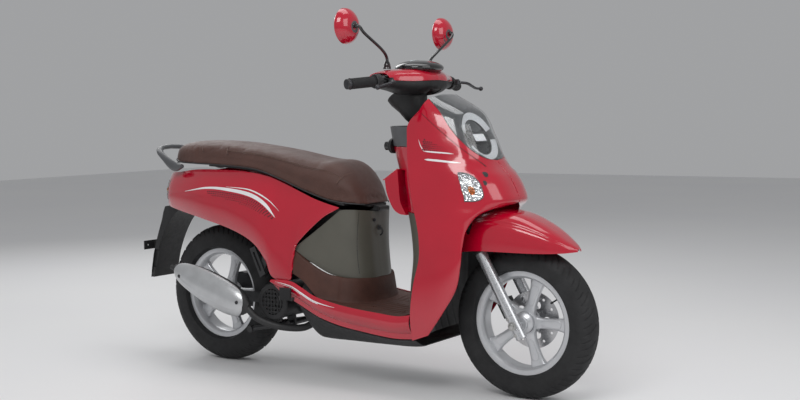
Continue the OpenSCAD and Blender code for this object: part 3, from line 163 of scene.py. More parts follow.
def locate(surface, x, z, us, vs):
    """Parameters of the surface points whose x and z are given: the nearest grid point, then Newton steps."""
    gu, gv = mesh_of(us, vs)
    g = surface(gu, gv)
    shape = np.shape(x)
    x, z = np.ravel(x), np.ravel(z)
    far = (g[..., 0].ravel()[None] - x[:, None]) ** 2 + (g[..., 2].ravel()[None] - z[:, None]) ** 2
    k = far.argmin(1)
    u, v = gu.ravel()[k], gv.ravel()[k]
    e = 1e-4
    for _ in range(8):
        p = surface(u, v)
        a, b = (surface(u + e, v) - p) / e, (surface(u, v + e) - p) / e
        rx, rz = x - p[:, 0], z - p[:, 2]
        det = a[:, 0] * b[:, 2] - a[:, 2] * b[:, 0]
        det = np.where(np.abs(det) < 1e-6, 1e-6, det)
        u = u + np.clip((rx * b[:, 2] - rz * b[:, 0]) / det, -0.03, 0.03)
        v = v + np.clip((a[:, 0] * rz - a[:, 2] * rx) / det, -0.03, 0.03)
    return u.reshape(shape), v.reshape(shape)


# ---------------------------------------------------------------- closed parts: (points in mm, faces)
def quads(m, n, loop_u=False, loop_v=False):
    """Four-sided faces of an m by n grid of points, wrapped round in either direction."""
    i, j = np.meshgrid(np.arange(m if loop_u else m - 1), np.arange(n if loop_v else n - 1), indexing="ij")
    i2, j2 = (i + 1) % m, (j + 1) % n
    return np.stack([i * n + j, i * n + j2, i2 * n + j2, i2 * n + j], -1).reshape(-1, 4)


def sheet(grid, core, thick=PANEL, keep=None, lift=0.0):
    """A grid and its copy moved in along the normals, walled round the outline and every missing cell."""
    m, n = grid.shape[:2]
    out = normals(grid, core)
    faces = quads(m, n)
    if keep is not None:
        faces = faces[np.ravel(keep)]
    count = m * n
    starts, ends = faces.ravel(), np.roll(faces, -1, axis=1).ravel()
    rim = ~np.isin(starts * count + ends, ends * count + starts)
    a, b = starts[rim], ends[rim]
    points = np.concatenate([(grid + out * lift).reshape(-1, 3),
                             (grid + out * (lift - thick)).reshape(-1, 3)])
    every = np.concatenate([faces, faces[:, ::-1] + count, np.stack([b, a, a + count, b + count], -1)])
    used, index = np.unique(every, return_inverse=True)
    return points[used], index.reshape(every.shape)


def loft(rings, caps=True):
    """Closed rings joined in order; each end is closed by a ring shrunk to its middle."""
    rings = np.asarray(rings, float)
    if caps:
        ends = [np.broadcast_to(r.mean(0), r.shape)[None] for r in (rings[0], rings[-1])]
        rings = np.concatenate([ends[0], rings, ends[1]])
    return rings.reshape(-1, 3), quads(len(rings), rings.shape[1], loop_v=True)


def tube(path, radius, across=None, side=(0, 0, 1), sides=14, caps=True):
    """Elliptical section carried along a path: radius lies across `side`, across lies along it."""
    path = np.asarray(path, float)
    t = unit(np.gradient(path, axis=0))
    u = unit(np.cross(np.asarray(side, float), t))
    w = np.cross(t, u)
    a = np.linspace(0, 2 * math.pi, sides, endpoint=False)
    r = np.broadcast_to(radius, len(path))[:, None, None]
    s = r if across is None else np.broadcast_to(across, len(path))[:, None, None]
    return loft(path[:, None] + r * np.cos(a)[None, :, None] * u[:, None]
                + s * np.sin(a)[None, :, None] * w[:, None], caps)


def frame_of(axis):
    """Two directions at right angles to an axis."""
    axis = unit(np.asarray(axis, float))
    helper = np.array([0, 0, 1.0]) if abs(axis[2]) < 0.9 else np.array([1.0, 0, 0])
    a = unit(np.cross(helper, axis))
    return a, np.cross(axis, a), axis


def lathe(profile, centre, axis=(0, 1, 0), segments=96, loop=True, turn=0.0):
    """A profile of (radius, place along the axis) rows turned round the axis; a loop profile makes a ring."""
    a, b, c = frame_of(axis)
    p = np.asarray(profile, float)
    t = turn + np.linspace(0, 2 * math.pi, segments, endpoint=False)
    ring = np.cos(t)[:, None] * a + np.sin(t)[:, None] * b
    grid = np.asarray(centre, float) + p[:, 0, None, None] * ring[None] + p[:, 1, None, None] * c
    return grid.reshape(-1, 3), quads(len(p), segments, loop_u=loop, loop_v=True)


def arc_bar(profile, centre, axis, start, end, segments=48, zero=(0, 1, 0)):
    """Part of a ring: a closed profile turned from one angle to another and closed at both ends."""
    c = unit(np.asarray(axis, float))
    a = unit(np.asarray(zero, float) - np.dot(zero, c) * c)
    b = np.cross(c, a)
    p = np.asarray(profile, float)
    t = np.linspace(start, end, segments)
    ring = np.cos(t)[:, None] * a + np.sin(t)[:, None] * b
    rings = np.asarray(centre, float) + p[None, :, 0, None] * ring[:, None] + p[None, :, 1, None] * c
    return loft(rings)


def prism(outline, y0, y1):
    """Outline drawn in X and Z, carried from y0 to y1."""
    o = np.asarray(outline, float)
    n = len(o)
    points = np.concatenate([np.insert(o, 1, y0, axis=1), np.insert(o, 1, y1, axis=1)])
    i = np.arange(n)
    walls = np.stack([i, (i + 1) % n, (i + 1) % n + n, i + n], -1).tolist()
    return points, walls + [list(range(n)), list(range(2 * n - 1, n - 1, -1))]


def block(lo, hi):
    """Box between two corners."""
    return prism([[lo[0], lo[2]], [hi[0], lo[2]], [hi[0], hi[2]], [lo[0], hi[2]]], lo[1], hi[1])


def rod(p, q, r, segments=24):
    """Round rod between two points, with a small chamfer at each end."""
    p, q = np.asarray(p, float), np.asarray(q, float)
    length = np.linalg.norm(q - p)
    c = min(0.8, r * 0.2, length * 0.2)
    return lathe([[0, 0], [r - c, 0], [r, c], [r, length - c], [r - c, length], [0, length]],
                 p, q - p, segments, loop=False)


def bolt(centre, axis, r=6.0, h=4.0):
    """Flanged hexagon bolt head standing on a surface."""
    flange = lathe([[0, -1], [r * 1.35, -1], [r * 1.35, 0.8], [r * 1.1, 1.4], [0, 1.4]], centre, axis, 24,
                   loop=False)
    head = lathe([[0, 0], [r, 0], [r, h * 0.85], [r * 0.85, h], [0, h]], centre, axis, 6, loop=False)
    return [flange, head]


def ball(centre, r, segments=24):
    """Sphere turned from a half circle."""
    t = np.linspace(0, math.pi, 13)
    return lathe(np.stack([r * np.sin(t), -r * np.cos(t)], -1), centre, (0, 0, 1), segments, loop=False)


def mirrored(part):
    """A part reflected in the centre plane."""
    points, faces = part
    return points * [1, -1, 1], faces


def on_side(parts, s):
    """The parts as drawn for the left side, or mirrored for the right."""
    return [mirrored(p) if s < 0 else p for p in parts]


# ---------------------------------------------------------------- objects
def make(name, parts, finish_name, body, replaces=(), sharp=38, bevel=0.0):
    """One object from closed parts: doubles merged, faces turned outwards, edges over `sharp` degrees kept."""
    points, faces, base = [], [], 0
    for p, f in parts:
        points.append(np.asarray(p, float))
        faces += [[i + base for i in face] for face in (f.tolist() if isinstance(f, np.ndarray) else f)]
        base += len(p)
    mesh = bpy.data.meshes.new(name)
    mesh.from_pydata(np.concatenate(points) * MM, [], faces)
    bm = bmesh.new()
    bm.from_mesh(mesh)
    bmesh.ops.remove_doubles(bm, verts=bm.verts, dist=2e-6)
    bmesh.ops.dissolve_degenerate(bm, edges=bm.edges, dist=1e-7)
    bmesh.ops.recalc_face_normals(bm, faces=bm.faces)
    bm.to_mesh(mesh)
    bm.free()
    mesh.shade_smooth()
    mesh.set_sharp_from_angle(angle=math.radians(sharp))
    obj = bpy.data.objects.new(name, mesh)
    bpy.context.scene.collection.objects.link(obj)
    return settle(obj, finish_name, body, replaces, bevel)


def settle(obj, finish_name, body, replaces=(), bevel=0.0):
    """Gives an object its finish by name, its body, the CAD nodes it stands for and a softened edge."""
    obj.data.materials.clear()
    obj.data.materials.append(FINISHES[finish_name])
    if bevel:
        soft = obj.modifiers.new("soft edge", "BEVEL")
        soft.width = bevel * MM
        soft.segments = 2
        soft.limit_method = "ANGLE"
        soft.angle_limit = math.radians(42)
        soft.harden_normals = True
    if body:
        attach(obj, body)
    if replaces:
        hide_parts(*replaces)
    return obj


def polished(node, finish_name, bevel=0.8, sharp=32):
    """A merged copy of a CAD node with smooth round faces and softened edges, standing for the node."""
    source = frame["nodes"][node]
    mesh = source.data.copy()
    bm = bmesh.new()
    bm.from_mesh(mesh)
    bmesh.ops.remove_doubles(bm, verts=bm.verts, dist=2e-6)
    bm.to_mesh(mesh)
    bm.free()
    if mesh.has_custom_normals:
        mesh.attributes.remove(mesh.attributes["custom_normal"])
    mesh.shade_smooth()
    mesh.set_sharp_from_angle(angle=math.radians(sharp))
    obj = bpy.data.objects.new(node + "_finished", mesh)
    bpy.context.scene.collection.objects.link(obj)
    return settle(obj, finish_name, source["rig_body"], (node,), bevel)


# ---------------------------------------------------------------- finishes
def node_tree(name):
    """A new material with its shader and a place to add nodes."""
    material = bpy.data.materials.new(name)
    material.use_nodes = True
    tree = material.node_tree
    return material, tree, tree.nodes["Principled BSDF"]


def noise(tree, scale, detail=3.0, roughness=0.55, stretch=(1, 1, 1)):
    """Fractal noise on object coordinates; scale is in waves to the metre."""
    place = tree.nodes.new("ShaderNodeTexCoord")
    turn = tree.nodes.new("ShaderNodeMapping")
    turn.inputs["Scale"].default_value = stretch
    texture = tree.nodes.new("ShaderNodeTexNoise")
    texture.inputs["Scale"].default_value = scale
    texture.inputs["Detail"].default_value = detail
    texture.inputs["Roughness"].default_value = roughness
    tree.links.new(place.outputs["Object"], turn.inputs["Vector"])
    tree.links.new(turn.outputs["Vector"], texture.inputs["Vector"])
    return texture.outputs["Fac"]


def cells(tree, scale, feature="DISTANCE_TO_EDGE"):
    """Cell pattern on object coordinates; scale is in cells to the metre."""
    place = tree.nodes.new("ShaderNodeTexCoord")
    texture = tree.nodes.new("ShaderNodeTexVoronoi")
    texture.feature = feature
    texture.inputs["Scale"].default_value = scale
    tree.links.new(place.outputs["Object"], texture.inputs["Vector"])
    return texture.outputs["Distance"]


def spread(tree, value, low, high, to_low, to_high):
    """The part of a value between low and high, stretched to the range to_low to to_high."""
    node = tree.nodes.new("ShaderNodeMapRange")
    node.inputs["From Min"].default_value = low
    node.inputs["From Max"].default_value = high
    node.inputs["To Min"].default_value = to_low
    node.inputs["To Max"].default_value = to_high
    tree.links.new(value, node.inputs["Value"])
    return node.outputs["Result"]


def bump(tree, height, distance, strength=1.0, onto=None):
    """Height in metres turned into a bent normal, on top of another one if given."""
    node = tree.nodes.new("ShaderNodeBump")
    node.inputs["Distance"].default_value = distance
    node.inputs["Strength"].default_value = strength
    tree.links.new(height, node.inputs["Height"])
    if onto is not None:
        tree.links.new(onto, node.inputs["Normal"])
    return node.outputs["Normal"]


def tinted(tree, value, dark, light):
    """Colour between two by a value from 0 to 1."""
    node = tree.nodes.new("ShaderNodeMix")
    node.data_type = "RGBA"
    node.inputs["A"].default_value = (*dark, 1)
    node.inputs["B"].default_value = (*light, 1)
    tree.links.new(value, node.inputs["Factor"])
    return node.outputs["Result"]


def edge_highlight(tree, colour, edge, amount):
    """Colour paled along outward edges, from the mesh's pointiness."""
    shape = tree.nodes.new("ShaderNodeNewGeometry")
    sharp = spread(tree, shape.outputs["Pointiness"], 0.53, 0.62, 0.0, amount)
    node = tree.nodes.new("ShaderNodeMix")
    node.data_type = "RGBA"
    node.inputs["B"].default_value = (*edge, 1)
    tree.links.new(sharp, node.inputs["Factor"])
    tree.links.new(colour, node.inputs["A"])
    return node.outputs["Result"]


def shade(colour, amount):
    """A colour made darker or lighter, held to white."""
    return tuple(min(1.0, c * amount) for c in colour)


def finish(name, colour, rough, metal=0.0, patch=(14, 0.9, 1.08), rough_patch=(60, 0.05),
           grain=(2200, 0.00003, 2),
           coat=0.0, specular=0.5, edge=None, stretch=(1, 1, 1)):
    """Hard finish: slow patches of colour, patches of roughness and a fine grain of height."""
    material, tree, shader = node_tree(name)
    slow = spread(tree, noise(tree, patch[0], 4), 0.3, 0.7, 0, 1)
    hue = tinted(tree, slow, shade(colour, patch[1]), shade(colour, patch[2]))
    # Painted highlight: outward edges are paled towards the edge colour.
    if edge:
        hue = edge_highlight(tree, hue, edge, 0.5)
    tree.links.new(hue, shader.inputs["Base Color"])
    gloss = spread(tree, noise(tree, rough_patch[0], 3, stretch=stretch), 0.3, 0.7, rough - rough_patch[1],
                   rough + rough_patch[1])
    tree.links.new(gloss, shader.inputs["Roughness"])
    fine = noise(tree, grain[0], grain[2], stretch=stretch)
    tree.links.new(bump(tree, fine, grain[1]), shader.inputs["Normal"])
    shader.inputs["Metallic"].default_value = metal
    shader.inputs["Specular IOR Level"].default_value = specular
    shader.inputs["Coat Weight"].default_value = coat
    shader.inputs["Coat Roughness"].default_value = 0.04
    return material


def leather(name, colour):
    """Grained vinyl: small cells as creases, a finer noise, and patches of sheen."""
    material, tree, shader = node_tree(name)
    slow = spread(tree, noise(tree, 9, 4), 0.3, 0.7, 0, 1)
    hue = tinted(tree, slow, shade(colour, 0.86), shade(colour, 1.12))
    crease = spread(tree, cells(tree, 620), 0.0, 0.16, 0.0, 1.0)
    # Painted shade: the base colour is darkened by up to about a third along the cell creases.
    deep = tree.nodes.new("ShaderNodeMix")
    deep.data_type = "RGBA"
    deep.blend_type = "MULTIPLY"
    deep.inputs["Factor"].default_value = 0.35
    tree.links.new(hue, deep.inputs["A"])
    tree.links.new(crease, deep.inputs["B"])
    tree.links.new(deep.outputs["Result"], shader.inputs["Base Color"])
    tree.links.new(spread(tree, noise(tree, 35, 3), 0.3, 0.7, 0.44, 0.6), shader.inputs["Roughness"])
    relief = bump(tree, crease, 0.00025, 0.55)
    relief = bump(tree, noise(tree, 1400, 3), 0.0001, 0.5, relief)
    tree.links.new(relief, shader.inputs["Normal"])
    shader.inputs["Specular IOR Level"].default_value = 0.42
    shader.inputs["Sheen Weight"].default_value = 0.12
    return material


def clear(name, colour, rough=0.02, ior=1.49):
    """Clear or tinted plastic with faint moulding waves."""
    material, tree, shader = node_tree(name)
    shader.inputs["Transmission Weight"].default_value = 1.0
    shader.inputs["IOR"].default_value = ior
    slow = spread(tree, noise(tree, 20, 2), 0.3, 0.7, 0, 1)
    tree.links.new(tinted(tree, slow, shade(colour, 0.97), colour), shader.inputs["Base Color"])
    tree.links.new(spread(tree, noise(tree, 50, 2), 0.3, 0.7, rough, rough + 0.02),
                   shader.inputs["Roughness"])
    tree.links.new(bump(tree, noise(tree, 45, 2), 0.0001, 0.3), shader.inputs["Normal"])
    material.use_raytrace_refraction = True
    return material


def glowing(name, colour, strength):
    """Milky light guide with a fine ribbed prism pattern."""
    material, tree, shader = node_tree(name)
    ribs = spread(tree, noise(tree, 420, 1), 0.35, 0.65, 0, 1)
    tree.links.new(tinted(tree, ribs, shade(colour, 0.86), colour), shader.inputs["Base Color"])
    tree.links.new(spread(tree, ribs, 0, 1, 0.12, 0.28), shader.inputs["Roughness"])
    tree.links.new(bump(tree, ribs, 0.0003, 0.5), shader.inputs["Normal"])
    shader.inputs["Emission Color"].default_value = (*colour, 1)
    shader.inputs["Emission Strength"].default_value = strength
    return material


def facets(name, colour, scale, rough=0.08, metal=1.0):
    """Bright reflector pressed into small facets."""
    material, tree, shader = node_tree(name)
    step = cells(tree, scale, "F1")
    tree.links.new(tinted(tree, spread(tree, step, 0, 1, 0, 1), shade(colour, 0.7), colour),
                   shader.inputs["Base Color"])
    tree.links.new(bump(tree, step, 0.004, 0.8), shader.inputs["Normal"])
    shader.inputs["Metallic"].default_value = metal
    shader.inputs["Roughness"].default_value = rough
    return material


FINISHES = {}


def build_finishes(look):
    """Every finish of the scooter, made once and kept by name."""
    red, brown, bronze, silver = (tuple(getattr(look, n)) for n in ("paint", "vinyl", "bronze", "alloy"))
    f = FINISHES
    f["paint"] = finish("red paint", red, 0.17, patch=(6, 0.94, 1.05), rough_patch=(30, 0.03),
                        grain=(700, 0.000012, 1),
                        coat=1.0, specular=0.5)
    f["vinyl"] = leather("seat vinyl", brown)
    f["thread"] = finish("seat thread", (0.34, 0.22, 0.16), 0.75, patch=(300, 0.8, 1.1),
                         grain=(5000, 0.0001, 2))
    f["mat"] = finish("floor mat rubber", shade(brown, 0.82), 0.62, patch=(25, 0.85, 1.15),
                      grain=(1500, 0.0002, 4), specular=0.35)
    f["bronze"] = finish("bronze plastic", bronze, 0.36, patch=(10, 0.92, 1.08), rough_patch=(200, 0.05),
                         grain=(1800, 0.00004, 3), specular=0.5)
    f["plastic"] = finish("black moulded plastic", (0.018, 0.018, 0.019), 0.5, patch=(30, 0.8, 1.25),
                          rough_patch=(90, 0.08),
                          grain=(1600, 0.00012, 4), specular=0.42, edge=(0.06, 0.06, 0.06))
    f["gloss_black"] = finish("gloss black plastic", (0.012, 0.012, 0.013), 0.09, patch=(20, 0.9, 1.1),
                              coat=0.6,
                              grain=(500, 0.00001, 1))
    f["trim"] = finish("dark grey trim", (0.085, 0.088, 0.094), 0.4, patch=(25, 0.9, 1.1),
                       rough_patch=(120, 0.06),
                       grain=(1500, 0.00008, 3), edge=(0.16, 0.16, 0.17))
    f["lamp_grey"] = finish("lamp housing grey", (0.13, 0.135, 0.14), 0.33, metal=0.35,
                            patch=(18, 0.85, 1.2), grain=(900, 0.00003, 2))
    f["lamp_dark"] = finish("lamp inner black", (0.03, 0.03, 0.032), 0.3, patch=(18, 0.8, 1.2),
                            grain=(900, 0.00005, 2))
    f["lamp_white"] = glowing("light guide", (0.93, 0.95, 0.98), 0.12)
    f["lamp_cell"] = glowing("lamp cell", (0.97, 0.98, 1.0), 0.3)
    f["clear"] = clear("clear lens", (0.97, 0.98, 0.985))
    f["red_lens"] = clear("red lens", (0.72, 0.02, 0.03), 0.05)
    f["reflector"] = facets("bright reflector", (0.86, 0.87, 0.89), 130)
    f["red_reflector"] = facets("red reflector", (0.5, 0.01, 0.015), 160, 0.2, 0.3)
    f["amber"] = clear("amber bulb", (0.95, 0.42, 0.06), 0.06)
    f["tyre"] = finish("tyre rubber", (0.022, 0.022, 0.023), 0.68, patch=(18, 0.8, 1.3),
                       rough_patch=(70, 0.08),
                       grain=(1200, 0.00018, 4), specular=0.3)
    f["alloy"] = finish("silver wheel paint", silver, 0.34, metal=0.55, patch=(20, 0.95, 1.03),
                        rough_patch=(60, 0.03),
                        grain=(1500, 0.00001, 2), coat=0.2)
    f["fork"] = finish("silver fork paint", shade(silver, 0.95), 0.3, metal=0.8, patch=(30, 0.92, 1.04),
                       rough_patch=(150, 0.06),
                       grain=(1400, 0.00005, 3), coat=0.2)
    f["disc"] = finish("brushed disc steel", (0.56, 0.56, 0.57), 0.3, metal=1.0, patch=(60, 0.88, 1.06),
                       rough_patch=(900, 0.1),
                       grain=(2600, 0.00006, 2), stretch=(1, 0.05, 1))
    f["bolt"] = finish("zinc bolt steel", (0.5, 0.5, 0.49), 0.35, metal=1.0, patch=(120, 0.8, 1.1),
                       grain=(3000, 0.00005, 2))
    f["black_bolt"] = finish("black bolt steel", (0.05, 0.05, 0.055), 0.42, metal=0.6, patch=(90, 0.8, 1.2),
                             grain=(2500, 0.00005, 2))
    f["frame"] = finish("black frame paint", (0.022, 0.022, 0.024), 0.36, patch=(30, 0.85, 1.2),
                        grain=(900, 0.00005, 2),
                        edge=(0.09, 0.09, 0.09))
    f["engine"] = finish("painted engine casting", (0.035, 0.036, 0.038), 0.48, metal=0.4,
                         patch=(35, 0.8, 1.3),
                         rough_patch=(80, 0.08), grain=(900, 0.0003, 5), edge=(0.13, 0.13, 0.13))
    f["bare_alloy"] = finish("bare cast alloy", (0.42, 0.42, 0.42), 0.44, metal=0.9, patch=(60, 0.8, 1.15),
                             rough_patch=(120, 0.1), grain=(1100, 0.0002, 5))
    f["muffler"] = finish("matt black muffler paint", (0.024, 0.024, 0.025), 0.52, patch=(40, 0.85, 1.25),
                          grain=(1300, 0.00008, 3))
    f["shield"] = finish("silver shield paint", (0.56, 0.57, 0.58), 0.33, metal=0.65, patch=(25, 0.92, 1.05),
                         rough_patch=(100, 0.05),
                         grain=(1500, 0.00004, 3), coat=0.15)
    f["spring"] = finish("red spring paint", (0.5, 0.012, 0.02), 0.28, patch=(60, 0.9, 1.1), coat=0.5)
    f["shock"] = finish("grey damper paint", (0.14, 0.14, 0.15), 0.35, metal=0.5, patch=(50, 0.85, 1.15))
    f["tank"] = finish("tank steel paint", (0.2, 0.2, 0.21), 0.45, metal=0.4, patch=(20, 0.85, 1.15),
                       grain=(800, 0.0001, 3))
    f["grip"] = finish("grip rubber", (0.016, 0.016, 0.017), 0.62, patch=(60, 0.8, 1.3),
                       grain=(1800, 0.00015, 4), specular=0.35)
    f["mirror"] = finish("mirror glass", (0.88, 0.9, 0.91), 0.02, metal=1.0, patch=(4, 0.98, 1.0),
                         rough_patch=(8, 0.005),
                         grain=(30, 0.000002, 1))
    f["white_line"] = finish("white film", (0.82, 0.82, 0.83), 0.2, patch=(40, 0.94, 1.03), coat=0.8,
                             grain=(800, 0.00001, 1))
    f["dark_film"] = finish("dark film", (0.05, 0.008, 0.014), 0.25, patch=(40, 0.85, 1.15), coat=0.8,
                            grain=(800, 0.00001, 1))
    f["seam"] = finish("panel seam shadow", (0.03, 0.002, 0.004), 0.7, patch=(40, 0.9, 1.1))
    f["screen"] = finish("meter screen", (0.02, 0.03, 0.028), 0.12, patch=(80, 0.85, 1.2), coat=0.8,
                         grain=(600, 0.00001, 1))
    f["screen_mark"] = glowing("meter marks", (0.75, 0.85, 0.9), 0.5)


# ---------------------------------------------------------------- front covers
# Rows of (place up the cover, point in mm): the inner edge is the arch, then the centre line
APRON_IN = [(0, (440, 190, 206)), (.12, (492, 185, 280)), (.25, (534, 172, 357)), (.37, (548, 168, 430)),
            (.47, (553, 162, 490)), (.55, (566, 152, 548)), (.61, (602, 120, 594)), (.66, (664, 0, 622)),
            (.72, (655, 0, 662)), (.78, (630, 0, 705)), (.83, (592, 0, 747)), (.88, (558, 0, 825)),
            (.94, (512, 0, 908)), (1, (407, 0, 969))]
APRON_OUT = [(0, (385, 199, 186)), (.12, (378, 200, 262)), (.25, (388, 197, 357)), (.37, (408, 191, 446)),
             (.47, (405, 185, 510)), (.55, (393, 178, 560)), (.61, (380, 173, 600)), (.66, (369, 169, 640)),
             (.72, (360, 164, 680)), (.78, (352, 158, 725)), (.83, (345, 152, 768)), (.88, (340, 145, 818)),
             (.94, (338, 134, 872)), (1, (372, 116, 918))]
APRON_SQUARE = [(0, 2.3), (.5, 2.5), (.66, 3), (.8, 3), (.9, 2.7), (1, 2.6)]
APRON_CORE = (380, 0, 560)
ARCH_U = 0.66
LAMP_U = 0.835
LAMP_HALF = [(LAMP_U, 0), (.838, .12), (.845, .24), (.86, .38), (.885, .5), (.92, .58), (.96, .6), (1, .6)]


def apron_pt(u, v):
    """Superellipse quarter at each height, from the inner edge at v = 0 to the rear rim at v = 1 or -1."""
    a, b = curve(APRON_IN, u), curve(APRON_OUT, u)
    e = 2 / curve(APRON_SQUARE, u)
    c = np.cos(np.abs(v) * math.pi / 2).clip(0) ** e
    d = np.sin(np.abs(v) * math.pi / 2).clip(0) ** e
    y = np.where(v < 0, -1, 1) * (a[..., 1] + (b[..., 1] - a[..., 1]) * d)
    return np.stack([b[..., 0] + (a[..., 0] - b[..., 0]) * c, y, b[..., 2] + (a[..., 2] - b[..., 2]) * c], -1)


def lamp_half(u):
    """Half width of the lamp opening in v at height u; nothing below the opening."""
    return np.where(u <= LAMP_U, 0.0, curve(LAMP_HALF, u))


def on_apron(u, v, height):
    """Apron point raised along the surface's own normal."""
    return apron_pt(u, v) + surface_normals(apron_pt, u, v, APRON_CORE) * np.asarray(height)[..., None]


def build_apron():
    """Shell with the wheel arch below and the lamp opening above; columns crowd to the opening's edge."""
    us = np.unique(np.concatenate([np.linspace(0, ARCH_U, 60), np.linspace(ARCH_U, LAMP_U, 30),
                                   np.linspace(LAMP_U, 1, 44)]))
    half = np.linspace(0, 1, 64) ** 1.15
    s = np.concatenate([-half[::-1], half])
    u, s = mesh_of(us, s)
    side = np.where(np.arange(s.shape[1]) < len(half), -1.0, 1.0)
    gap = lamp_half(u)
    v = side * np.maximum(gap + (1 - gap) * np.abs(s), 1e-7)
    grid = apron_pt(u, v)
    keep = np.ones((grid.shape[0] - 1, grid.shape[1] - 1), bool)
    centre = len(half) - 1
    keep[:, centre] = False
    joined = (us >= ARCH_U - 1e-6) & (us <= LAMP_U + 1e-6)
    grid[np.ix_(joined, [centre, centre + 1], [1])] = 0.0
    make("front_apron_shell", [sheet(grid, APRON_CORE, keep=keep)], "paint", "chassis", ("front_apron",),
         bevel=0.7)


def conform(surface, path, half_width, core, us, vs, lift=0.5, thick=0.35, columns=5):
    """Thin film along a path of (x, z) rows: offsets are square to the path, then laid on the surface."""
    path = smooth_path(path, 14)
    t = unit(np.gradient(path, axis=0))
    across = np.stack([-t[:, 1], t[:, 0]], -1)
    if np.ndim(half_width) == 2:
        half_width = curve(half_width, np.linspace(0, 1, len(path)))
    w = np.broadcast_to(half_width, len(path))
    k = np.linspace(-1, 1, columns)
    target = path[:, None] + (w[:, None] * k)[..., None] * across[:, None]
    u, v = locate(surface, target[..., 0], target[..., 1], us, vs)
    return sheet(surface(u, v), core, thick, lift=lift)


def film_dots(surface, x, z, r, core, us, vs, lift=0.5):
    """Small six-sided spots laid on a surface at the given places and radii."""
    u, v = locate(surface, x, z, us, vs)
    p, n = surface(u, v), surface_normals(surface, u, v, core)
    a = unit(np.cross(n, (0, 0, 1.0)))
    b = np.cross(n, a)
    t = np.linspace(0, 2 * math.pi, 6, endpoint=False)
    rim = r[:, None, None] * (np.cos(t)[:, None] * a[:, None] + np.sin(t)[:, None] * b[:, None])
    top, low = p[:, None] + n[:, None] * lift + rim, p[:, None] + n[:, None] * (lift - 0.3) + rim
    parts = []
    for hi, lo in zip(top, low):
        faces = [list(range(6)), list(range(11, 5, -1))] + [[i, (i + 1) % 6, (i + 1) % 6 + 6, i + 6]
                                                            for i in range(6)]
        parts.append((np.concatenate([hi, lo]), faces))
    return parts


def build_apron_marks():
    """Panel seam, vent slots and the printed film on both sides of the front cover."""
    us, vs = np.linspace(.6, 1, 60), np.linspace(.25, .995, 60)
    seam, white, dots, vents = [], [], [], []
    seam_path = [(384, 905), (420, 878), (470, 838), (520, 797), (562, 762), (590, 736)]
    seam.append(conform(apron_pt, seam_path, 0.7, APRON_CORE, us, vs, lift=0.16, thick=0.3, columns=3))
    white.append(conform(apron_pt, [(404, 786), (440, 783), (480, 780), (505, 777)],
                         [(0, .4), (.15, 2.0), (.8, 1.7), (1, .2)],
                         APRON_CORE, us, vs))
    white.append(conform(apron_pt, [(384, 822), (392, 804), (404, 788)], [(0, .3), (.5, 1.2), (1, 1.4)],
                         APRON_CORE, us, vs))
    white.append(conform(apron_pt, [(410, 760), (450, 757), (490, 753), (530, 749)],
                         [(0, .5), (.12, 3.0), (.8, 2.5), (1, .2)],
                         APRON_CORE, us, vs))
    i, j = np.meshgrid(np.arange(13), np.arange(6), indexing="ij")
    x = (402 + 7 * i + 3.5 * (j % 2)).ravel()
    z = (791 + 6.2 * j - 0.5 * i).ravel()
    inside = z < 826 - (x - 400) * 0.38
    r = np.maximum(0.5, 2.9 - 0.028 * (x - 400))[inside]
    dots += film_dots(apron_pt, x[inside], z[inside], r, APRON_CORE, us, vs)
    for path in ([(592, 720), (600, 714), (607, 705)], [(602, 694), (607, 688), (611, 680)]):
        vents.append(conform(apron_pt, path, [(0, 1.2), (.25, 3.2), (.75, 3.6), (1, 1.4)], APRON_CORE,
                             np.linspace(.62, .85, 40), np.linspace(.12, .7, 50), lift=0.4, thick=0.5))
    for s, name in SIDES:
        make(f"apron_seam_{name}", on_side(seam, s), "seam", "chassis")
        make(f"apron_stripes_{name}", on_side(white, s), "white_line", "chassis")
        make(f"apron_spots_{name}", on_side(dots, s), "dark_film", "chassis")
        make(f"apron_vents_{name}", on_side(vents, s), "lamp_dark", "chassis")


INDICATOR_MID = (.728, .625)


def indicator_grid(r, turn, grow=0.0):
    """Rounded D in (u, v): a full curve to the front and a nearly straight edge to the rear."""
    c, s = np.cos(turn), np.sin(turn)
    forward = np.where(c > 0, (.165 + grow) * np.abs(c) ** .9, -(.05 + grow) * np.abs(c) ** .28)
    upward = (.062 + grow * .45) * signed_power(s, .8)
    return INDICATOR_MID[0] + r * upward + .012 * r * np.where(c > 0, 0,
                                                               -1) * np.abs(c), INDICATOR_MID[1] - r * forward


def build_indicators():
    """Each turn-signal lamp: dark surround, pressed reflector, amber bulb and a domed clear lens."""
    turn = np.linspace(0, 2 * math.pi, 72, endpoint=False)
    core = np.array([420, 60, 660])

    def dish(heights, radii, grow, thick, loop_core=core):
        r, t = mesh_of(radii, np.append(turn, turn[0]))
        u, v = indicator_grid(r, t, grow)
        p = on_apron(u, v, np.broadcast_to(np.asarray(heights)[:, None], r.shape))
        return sheet(p, loop_core, thick)

    radii = np.linspace(1e-3, 1, 16)
    surround = dish([-1, 1.8, 2.4, 1.8, -1], [.955, .965, 1.0, 1.035, 1.045], 0, 1.0)
    reflector = dish(0.8 + 0 * radii, radii * .97, 0, 0.6)
    lens = dish(2.2 + 6.0 * (1 - radii**2.4), radii * .965, 0, 1.2)
    r, t = mesh_of(np.linspace(1e-3, .3, 8), np.append(turn, turn[0]))
    u, v = indicator_grid(r, t)
    bulb = sheet(on_apron(u - .012, v - .03, 1.5 + 4.0 * np.sqrt(np.clip(1 - (r / .3) ** 2, 0, 1))), core,
                 0.8)
    for s, name in SIDES:
        make(f"indicator_surround_{name}", on_side([surround], s), "trim", "chassis")
        make(f"indicator_reflector_{name}", on_side([reflector], s), "reflector", "chassis")
        make(f"indicator_bulb_{name}", on_side([bulb], s), "amber", "chassis")
        extra = ("front_indicators",) if s < 0 else ()
        make(f"indicator_lens_{name}", on_side([lens], s), "clear", "chassis", extra)


